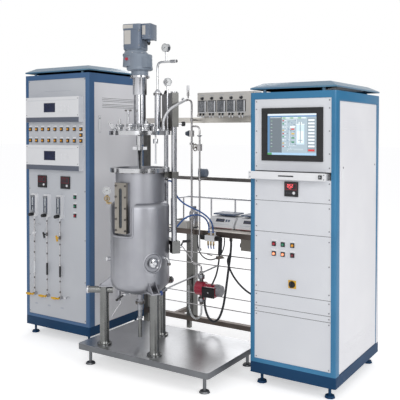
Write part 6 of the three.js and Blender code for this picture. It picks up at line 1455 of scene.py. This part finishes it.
# %% Gear case
case = Workpiece("gearbox_finished")
drive_axis = Vector((AXIS[0] - 0.033, AXIS[1], 0))
case.turned((AXIS[0], AXIS[1], 1.8873), UP, [(0.0552, 0), (0.0552, 0.03), (0.07, 0.0355)], gear_grey, 64)
case.turned((AXIS[0], AXIS[1], 1.9215), UP, [(0.08, 0), (0.0842, 0.006), (0.0842, 0.02), (0.083, 0.022),
    (0.0815, 0.096), (0.079, 0.1008)], gear_grey, 64)
case.turned(drive_axis + above(1.9473), UP, [(0.0842, 0), (0.081, 0.066), (0.0842, 0.068), (0.0842, 0.075)],
    gear_grey, 64)
case.turned(drive_axis + above(2.0223), UP, [(0.0842, 0.0002), (0.0842, 0.007), (0.079, 0.009),
    (0.0682, 0.03), (0.074, 0.0305), (0.074, 0.0337)], gear_grey, 64)
case.block((AXIS[0] + 0.02, AXIS[1] - 0.058, 1.9345), (AXIS[0] + 0.0995, AXIS[1] - 0.002, 2.0002),
    gear_grey)
plug = drive_axis + Vector((-0.008, -0.0745, 1.992))
case.turned(plug, FORWARD, [(0.0105, 0), (0.0105, 0.012), (0.0085, 0.0135), (0.0085, 0.0188)], red_plastic,
    6)
case.turned(drive_axis + Vector((0.05, -0.066, 1.972)), (0.6, -0.8, 0), [(0.01, 0), (0.01, 0.006)], brass,
    6)
for k in range(8):
    a = 2 * math.pi * (k + 0.5) / 8
    bolt = drive_axis + Vector((0.0795 * math.cos(a), 0.0795 * math.sin(a), 2.0295))
    case.turned(bolt, UP, [(0.005, 0), (0.005, 0.0055)], fastener_steel, 6)
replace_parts(case.done(BODY["gearbox"], 1.2, slot="machine_grey"), "gearbox")

# %% Motor
motor_turn = Matrix.Rotation(math.radians(12), 3, "Z")


def on_motor(x, y, z):
    return drive_axis + motor_turn @ Vector((x, y, z))


plates = Workpiece("motor_fittings")
front, across = motor_turn @ Vector(FORWARD), motor_turn @ Vector(RIGHT)
for left, right, bottom, top, face in ((-0.051, -0.005, 2.088, 2.177, -0.063),
        (-0.06, 0.012, 2.189, 2.212, -0.066), (0.07, 0.092, 2.146, 2.205, -0.048)):
    plates.slab([(left, bottom), (right, bottom), (right, top), (left, top)], on_motor(0, face, 0), 0.0012,
        bare_plate, front, across)
for x, z in ((-0.055, 2.078), (0.055, 2.078), (0.055, 2.172)):
    plates.turned(on_motor(x, -0.0625, z), front, [(0.0045, -0.001), (0.0045, 0.003)], fastener_steel, 6)
for x, z in ((0.076, 2.135), (0.12, 2.135), (0.12, 2.205)):
    plates.turned(on_motor(x, -0.0478, z), front, [(0.003, 0), (0.003, 0.005)], fastener_steel, 12)
gland = on_motor(0.0943, 0, 2.1026)
plates.turned(gland, DOWN, [(0.0115, 0), (0.0115, 0.006), (0.009, 0.008), (0.007, 0.018)], black_plastic,
    20)
plates.done("lid_assembly", 0.3)

# %% Lift
lift = Workpiece("lift_rounds")
column, guide = Vector((0.1358, -0.2474, 0)), Vector((-0.0022, -0.1414, 0))
lift.rod(column + above(0.746), column + above(1.7785), 0.01818, tube_steel, 40)
lift.rod(guide + above(0.756), guide + above(1.7765), 0.01466, tube_steel, 36)
lift.turned(column + above(1.7786), UP, [(0.0232, 0), (0.0232, 0.005), (0.021, 0.0066)], polished_steel, 36)
lift.turned(guide + above(1.7765), UP, [(0.016, 0), (0.017, 0.004), (0.01, 0.024), (0.006, 0.027)],
    black_plastic, 28)
out = Matrix.Rotation(math.radians(LIFT_ANGLE), 3, "Z") @ Vector(RIGHT)
side = Vector((out.y, -out.x, 0))
slots = [column + (out * 0.55 + side * 0.835).normalized() * 0.0179 + above(z)
    for z in (0.9, 0.96, 1.02, 1.08, 1.14, 1.35, 1.41, 1.47)]
lift.done("station", 0.4, slot="brushed_steel")
# Dark pills on the column are painted shade, standing for the shade inside its slots.
worn = Workpiece("lift_column_slot_shade")
for spot in slots:
    worn.slab(pill(0.005, 0.02, 6), spot, 0.0006, shadow_black, (out * 0.55 + side * 0.835),
        (0.835 * out - 0.55 * side))
worn.done("station", 0)
knob = Workpiece("lift_lock_knob")
centre = around(LIFT_ANGLE, 0, 1577.0) + out * 0.258 + side * 0.087
knob.turned(centre, out, [(0.014, 0), (0.0158, 0.003), (0.0158, 0.018), (0.014, 0.0205)], black_plastic, 12)
knob.rod(centre - out * 0.032, centre, 0.0062, polished_steel, 20)
knob.done("lid_assembly", 0.6, slot="black_plastic")
print("lid, drive and lift details done")

# %% [markdown]
# ## The rack
# Behind the vessel a tube rack carries the pump bank, and a shelf with two balances, a steel
# canister, an air valve block and a junction box. Under the shelf hang the circulation pump and its
# cables.

# %% Pump bank
bank = Workpiece("pump_bank_details")
BANK_FACE = 0.227
for head in range(5):
    x = 0.054 + 0.079 * head
    bank.block((x - 0.0305, BANK_FACE - 0.0025, 1.6575), (x + 0.0305, BANK_FACE + 0.002, 1.6645),
        white_plastic)
    bank.block((x - 0.0375, BANK_FACE - 0.003, 1.6665), (x + 0.0195, BANK_FACE - 0.0012, 1.742),
        smoke_cover)
    bank.block((x + 0.02, BANK_FACE - 0.0045, 1.6665), (x + 0.028, BANK_FACE + 0.002, 1.742), white_plastic)
    bank.block((x + 0.0285, BANK_FACE - 0.0025, 1.667), (x + 0.0345, BANK_FACE + 0.002, 1.74), shadow_black)
    bank.block((x - 0.0375, BANK_FACE - 0.0015, 1.7425), (x + 0.0345, BANK_FACE + 0.002, 1.747),
        dark_plastic)
    bank.block((x - 0.016, BANK_FACE - 0.001, 1.783), (x + 0.016, BANK_FACE + 0.002, 1.7865), print_grey)
    bank.turned((x, BANK_FACE + 0.001, 1.762), FORWARD, [(0.0115, 0), (0.0115, 0.003), (0.009, 0.005),
        (0.008, 0.0155), (0.0068, 0.0168)], dark_plastic, 28)
    bank.block((x - 0.0008, BANK_FACE - 0.0163, 1.762), (x + 0.0008, BANK_FACE - 0.015, 1.7715),
        white_plastic)
    for side in (-0.013, 0.013):
        bank.turned((x + side, BANK_FACE - 0.008, 1.6405), DOWN, [(0.0042, 0), (0.0042, 0.01),
            (0.003, 0.012), (0.003, 0.018)], white_plastic, 16)
lip = [(0.0, 0.0), (0.012, 0.006), (0.0, 0.018)]
bank.slab([(-u, v) for u, v in lip], (0.0115, BANK_FACE + 0.0005, 1.633), 0.458, pump_grey, RIGHT, BACKWARD)
bank.done("station", 0.5, slot="panel_grey")
screws("pump_bank_screws", [(x, BANK_FACE, z) for x in (0.0165, 0.464) for z in (1.65, 1.795)], FORWARD,
    radius=0.0034)

# %% Balances and canister
for i in (1, 2):
    low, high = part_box(f"balance_{i}")
    scale = Workpiece(f"balance_{i}_details")
    scale.block((low.x + 0.004, low.y - 0.0006, 0.8296), (high.x - 0.004, low.y + 0.001, 0.8318), red_lens)
    slope = Vector((0, 0.042, 0.054)).normalized()
    normal = Vector((0, -slope.z, slope.y))
    foot = Vector(((low.x + high.x) / 2, 0.335, 0.8513))
    for left, right, bottom, top, material in ((-0.05, 0.02, 0.026, 0.052, shadow_black),
            (-0.046, 0.016, 0.03, 0.048, display_navy), (0.03, 0.044, 0.03, 0.048, grey_plastic),
            (0.05, 0.064, 0.03, 0.048, grey_plastic), (-0.07, 0.07, 0.006, 0.008, print_grey)):
        lift_off = 0.0008 if material is not display_navy else 0.0012
        scale.slab([(left, bottom), (right, bottom), (right, top), (left, top)], foot, lift_off, material,
            normal, RIGHT)
    scale.done("station", 0.3, slot="case_white")

canister = Workpiece("steel_canister")
middle = Vector((-0.068, 0.3, 0.8232))
canister.turned(middle, UP, [(0.031, 0), (0.033, 0.004), (0.033, 0.108), (0.028, 0.12), (0.016, 0.13),
    (0.015, 0.14)], tube_steel, 40)
canister.turned(middle, UP, [(0.0192, 0.138), (0.0192, 0.155), (0.0175, 0.157)], fastener_steel, 32)
canister.turned(middle, UP, [(0.0345, -0.0001), (0.0345, 0.006), (0.034, 0.007)], dark_plastic, 36)
canister.done("station", 0.3)
pad = Workpiece("small_scale")
pad.slab([(-0.045, 0), (0.045, 0), (0.045, 0.022), (0.01, 0.05), (-0.045, 0.05)], (-0.162, 0.262, 0.8235),
    0.09, pump_grey, RIGHT, BACKWARD)
pad.block((-0.202, 0.264, 0.873), (-0.156, 0.34, 0.879), black_plastic)
pad.done("station", 0.8)

# %% Drum, actuator and junction box
drum = Workpiece("rack_drum")
profile = [(0.029, -0.0008), (0.0304, 0.004)]
for k in range(3):
    profile += [(0.0304, 0.012 + k * 0.014), (0.0296, 0.014 + k * 0.014), (0.0304, 0.016 + k * 0.014)]
drum.turned((-0.0095, 0.297, 1.227), RIGHT, [*profile, (0.0304, 0.05), (0.029, 0.0546)], machine_grey, 44)
drum.block((-0.0135, 0.272, 1.198), (-0.01, 0.322, 1.258), white_plastic)
drum.done("station", 0.3, slot="machine_grey")

box = Workpiece("junction_box_details")
box.block((0.3715, 0.2185, 0.706), (0.4815, 0.2215, 0.787), box_brown)
for x in (0.378, 0.475):
    for z in (0.712, 0.78):
        box.turned((x, 0.2188, z), FORWARD, [(0.003, 0), (0.003, 0.0016)], dark_steel, 12)
box.turned((0.3735, 0.255, 0.748), (-1, 0, 0), [(0.0105, 0), (0.0105, 0.008), (0.008, 0.01)], dark_plastic,
    6)
box.tube(bent_path([(0.366, 0.255, 0.748), (0.352, 0.255, 0.748), (0.35, 0.255, 0.722)], 0.01), 0.0062,
    black_rubber, 14)
box.done("station", 0.8)

# %% Pump and valve fittings
pump = Workpiece("pump_details")
pump.block((0.109, 0.1285, 0.433), (0.211, 0.1325, 0.442), dark_plastic)
pump.block((0.109, 0.1285, 0.369), (0.211, 0.1322, 0.4385), black_plastic)
pump.turned((0.16, 0.1288, 0.404), FORWARD, [(0.0045, 0), (0.0045, 0.0016)], scale_white, 20)
for low, high in ((0.464, 0.532), (0.3, 0.362)):
    pump.turned((0.0685, 0.19, low), UP, [(0.0146, 0), (0.0146, high - low)], dark_steel, 28)
    pump.turned((0.0685, 0.19, (low + high) / 2 - 0.012), UP, [(0.0235, 0), (0.025, 0.003), (0.025, 0.021),
        (0.0235, 0.024)], fastener_steel, 8)
for k in range(6):
    a = 2 * math.pi * (k + 0.5) / 6
    pump.turned((0.0368, 0.19 + 0.0415 * math.cos(a), 0.413 + 0.0415 * math.sin(a)), (-1, 0, 0),
        [(0.0042, 0), (0.0042, 0.005)], fastener_steel, 6)
for k in range(5):
    pump.loop((0.2115 + k * 0.004, 0.19, 0.413), RIGHT, 0.0428 - k * 0.0011, 0.001, cap_grey, 40, 6)
pump.turned((0.0685, 0.19, 0.413), (-1, 0, 0), [(0.03, 0.0315), (0.028, 0.036)], pump_red, 40)
pump.done("station", 0.4, slot="pump_red")

valve = Workpiece("rack_valves")
valve.turned((0.053, 0.19, 1.49), UP, [(0.012, 0), (0.0175, 0.006), (0.0175, 0.012), (0.01, 0.016)],
    polished_steel, 24)
valve.turned((-0.014, 0.142, 1.818), UP, [(0.009, 0), (0.0105, 0.002), (0.0105, 0.03), (0.008, 0.036)],
    white_plastic, 24)
for z in (0.655, 0.577, 0.36, 0.277):
    valve.rod((-0.38, 0.235, z), (0.62, 0.235, z), 0.004, pipe_steel, 12)
valve.tube(bent_path([(-0.215, 0.225, 0.69), (-0.12, 0.225, 0.69), (0.000, 0.225, 0.56),
    (0.000, 0.225, 0.4)], 0.03), 0.004, pipe_steel, 12)
for x in (0.122, 0.1445, 0.167):
    valve.turned((x, 0.1937, 0.7355), DOWN, [(0.0078, 0), (0.0078, 0.008), (0.0055, 0.01), (0.0055, 0.014)],
        brass, 6)
    valve.tube([(x, 0.1937, 0.722), (x + 0.002, 0.192, 0.712), (x + 0.006, 0.189, 0.702)], 0.0045,
        blue_tube, 12)
for point in ROUTES["blue_hose_upper"][-1:] + ROUTES["blue_hose_lower"][-1:]:
    valve.turned((point[0], point[1], 0.7975), UP, [(0.0082, 0), (0.0082, 0.009), (0.0066, 0.011),
        (0.0066, 0.0145)], brass, 6)
for side, x in ((-1, 0.106), (1, 0.183)):
    valve.turned((x, 0.1937, 0.777), (side, 0, 0), [(0.0172, 0), (0.0178, 0.002), (0.0178, 0.036),
        (0.012, 0.0415)], black_plastic, 28)
sleeve = [(0.012, 0.0)]
for k in range(14):
    sleeve += [(0.015, 0.003 + k * 0.0085), (0.0132, 0.0072 + k * 0.0085)]
valve.turned((0.216, 0.205, 0.784), (0, -0.06, -1), sleeve, black_rubber, 24)
valve.slab([(-0.052, -0.004), (0.004, -0.016), (0.012, 0.004), (-0.03, 0.01)], (0.206, 0.176, 0.65), 0.02,
    wheel_brown, BACKWARD, (-1, 0, 0))
valve.rod((0.16, 0.186, 0.655), (0.11, 0.2, 0.658), 0.0035, pipe_steel, 12)
valve.done("station", 0.3)

# %% Cables and the sample hose
CABLES = {
    "post_cable": (0.013, "hanging", [(0.3005, 0.209, 0.784), (0.3005, 0.209, 0.745), (0.303, 0.195, 0.69),
        (0.301, 0.16, 0.637), (0.34, 0.148, 0.56), (0.388, 0.15, 0.5), (0.44, 0.15, 0.46),
        (0.483, 0.15, 0.438), (0.56, 0.155, 0.415), (0.625, 0.165, 0.405), (0.668, 0.175, 0.4)]),
    "shelf_cable": (0.0085, "hanging", [(0.247, 0.209, 0.784), (0.247, 0.209, 0.75), (0.243, 0.198, 0.705),
        (0.225, 0.185, 0.665), (0.195, 0.176, 0.64), (0.155, 0.17, 0.628), (0.11, 0.172, 0.634),
        (0.07, 0.182, 0.655), (0.04, 0.196, 0.69), (0.026, 0.205, 0.735), (0.024, 0.209, 0.784)]),
    "bundle_cable": (0.012, "hanging", [(0.216, 0.207, 0.784), (0.216, 0.207, 0.745), (0.214, 0.2, 0.69),
        (0.212, 0.192, 0.63), (0.208, 0.182, 0.57), (0.198, 0.174, 0.52), (0.182, 0.164, 0.475),
        (0.172, 0.158, 0.45)]),
    "sample_hose": (0.011, "hanging", [(0.0645, -0.25, 0.493), (0.09, -0.18, 0.512), (0.114, -0.1, 0.528),
        (0.149, 0.002, 0.551), (0.18, 0.092, 0.571), (0.212, 0.185, 0.593)]),
}
for name, (diameter, lay, points) in CABLES.items():
    path = flowing_path(points, diameter / 2)
    cover, slot = (braided_exhaust, "braided_steel") if name == "sample_hose" else (black_rubber,
        "black_tube")
    cable = Workpiece(name).tube(path, diameter / 2, cover, 14).done("station", 0, slot=slot)
    print(name, "is", round(path_length(path), 3), "m long")
sampler = Workpiece("sample_hose_valve")
sampler.rod((0.056, -0.276, 0.487), (0.068, -0.24, 0.495), 0.009, polished_steel, 20)
sampler.rod((0.0635, -0.2535, 0.492), (0.068, -0.24, 0.495), 0.014, fastener_steel, 6)
sampler.block((0.05, -0.29, 0.462), (0.064, -0.27, 0.49), blue_cap, Matrix.Rotation(0.2, 3, "Z"))
sampler.rod((0.057, -0.279, 0.486), (0.057, -0.279, 0.47), 0.006, blue_cap, 16)
sampler.done("station", 0.6)
print("rack details done")

# %% [markdown]
# ## Light and ground
# The light is a studio's: a large soft lamp in front, a weaker one from the right, another
# from behind, and white all round. Shiny steel only shows its shape when it has something
# dark to reflect, so grey cards stand round the system, seen only in reflections.

# %% Floor, cards and lamps
def seen_white(tree):
    """1 for a ray that should simply see white: straight from the camera, or off metal or glass."""
    path = add(tree, "ShaderNodeLightPath")
    some = maths(tree, "MAXIMUM", path.outputs["Is Camera Ray"], path.outputs["Is Glossy Ray"])
    return maths(tree, "MAXIMUM", some, path.outputs["Is Transmission Ray"])


floor_paint = bpy.data.materials.new("matt white studio floor")
floor_paint.use_nodes = True
tree = floor_paint.node_tree
tree.nodes.clear()
matt = add(tree, "ShaderNodeBsdfDiffuse", {"Color": linear("#F4F4F4")})
glow = add(tree, "ShaderNodeEmission", {"Color": linear("#FFFFFF"), "Strength": 0.5})
clear = add(tree, "ShaderNodeEmission", {"Color": linear("#000000"), "Strength": 0.0})
lift = add(tree, "ShaderNodeMixShader", {0: seen_white(tree), 1: clear.outputs[0], 2: glow.outputs[0]})
both = add(tree, "ShaderNodeAddShader", {0: matt.outputs[0], 1: lift.outputs[0]})
add(tree, "ShaderNodeOutputMaterial", {"Surface": both.outputs[0]})


def sheet_at(name, corners, material):
    mesh = bpy.data.meshes.new(name)
    mesh.from_pydata(corners, [], [tuple(range(len(corners)))])
    mesh.materials.append(material)
    sheet = in_scene(name, mesh)
    return sheet


sheet_at("studio_floor", [(-60, -60, -0.001), (60, -60, -0.001), (60, 60, -0.001), (-60, 60, -0.001)],
    floor_paint)

card_paint = bpy.data.materials.new("grey studio card")
card_paint.use_nodes = True
card_paint.node_tree.nodes["Principled BSDF"].inputs["Base Color"].default_value = linear("#4E4F54")
card_paint.node_tree.nodes["Principled BSDF"].inputs["Roughness"].default_value = 1.0
CARDS = [(-140, 7.5, 4.0, 2.0), (-95, 7.5, 5.5, 4.5), (-55, 8.0, 2.2, 4.5), (50, 8.5, 4.6, 4.5),
    (85, 7.5, 3.0, 4.5), (130, 7.5, 5.5, 4.5), (190, 7.5, 5.0, 2.0)]
for i, (azimuth, distance, width, height) in enumerate(CARDS):
    a = math.radians(azimuth)
    centre = Vector((math.sin(a) * distance, -math.cos(a) * distance, 0))
    across = Vector((math.cos(a), math.sin(a), 0)) * width / 2
    card = sheet_at(f"grey_card_{i + 1}", [centre - across, centre + across,
        centre + across + above(height), centre - across + above(height)], card_paint)
    card.visible_camera = card.visible_diffuse = card.visible_shadow = card.visible_transmission = False


def soft_light(name, place, target, size, watts):
    data = bpy.data.lights.new(name, "AREA")
    data.shape, data.size, data.energy = "DISK", size, watts
    lamp = in_scene(name, data)
    lamp.location = place
    lamp.rotation_euler = (Vector(target) - Vector(place)).to_track_quat("-Z", "Y").to_euler()
    lamp.visible_camera = False
    return lamp


soft_light("key_light", (2.9, -5.8, 3.2), (0, 0, 1.0), 3.0, 112)
soft_light("side_light", (6.0, -1.5, 3.0), (0.3, 0, 1.0), 2.5, 84)
soft_light("back_light", (-3.0, 5.5, 4.0), (0, 0, 1.0), 2.5, 50)

world = bpy.data.worlds.new("white studio")
bpy.context.scene.world = world
world.use_nodes = True
tree = world.node_tree
tree.nodes.clear()
dim = add(tree, "ShaderNodeBackground", {"Color": linear("#FAFAFC"), "Strength": 0.56})
white = add(tree, "ShaderNodeBackground", {"Color": linear("#FFFFFF"), "Strength": 1.0})
sky = add(tree, "ShaderNodeMixShader", {0: seen_white(tree), 1: dim.outputs[0], 2: white.outputs[0]})
add(tree, "ShaderNodeOutputWorld", {"Surface": sky.outputs[0]})
bpy.context.scene.view_settings.view_transform = "Standard"
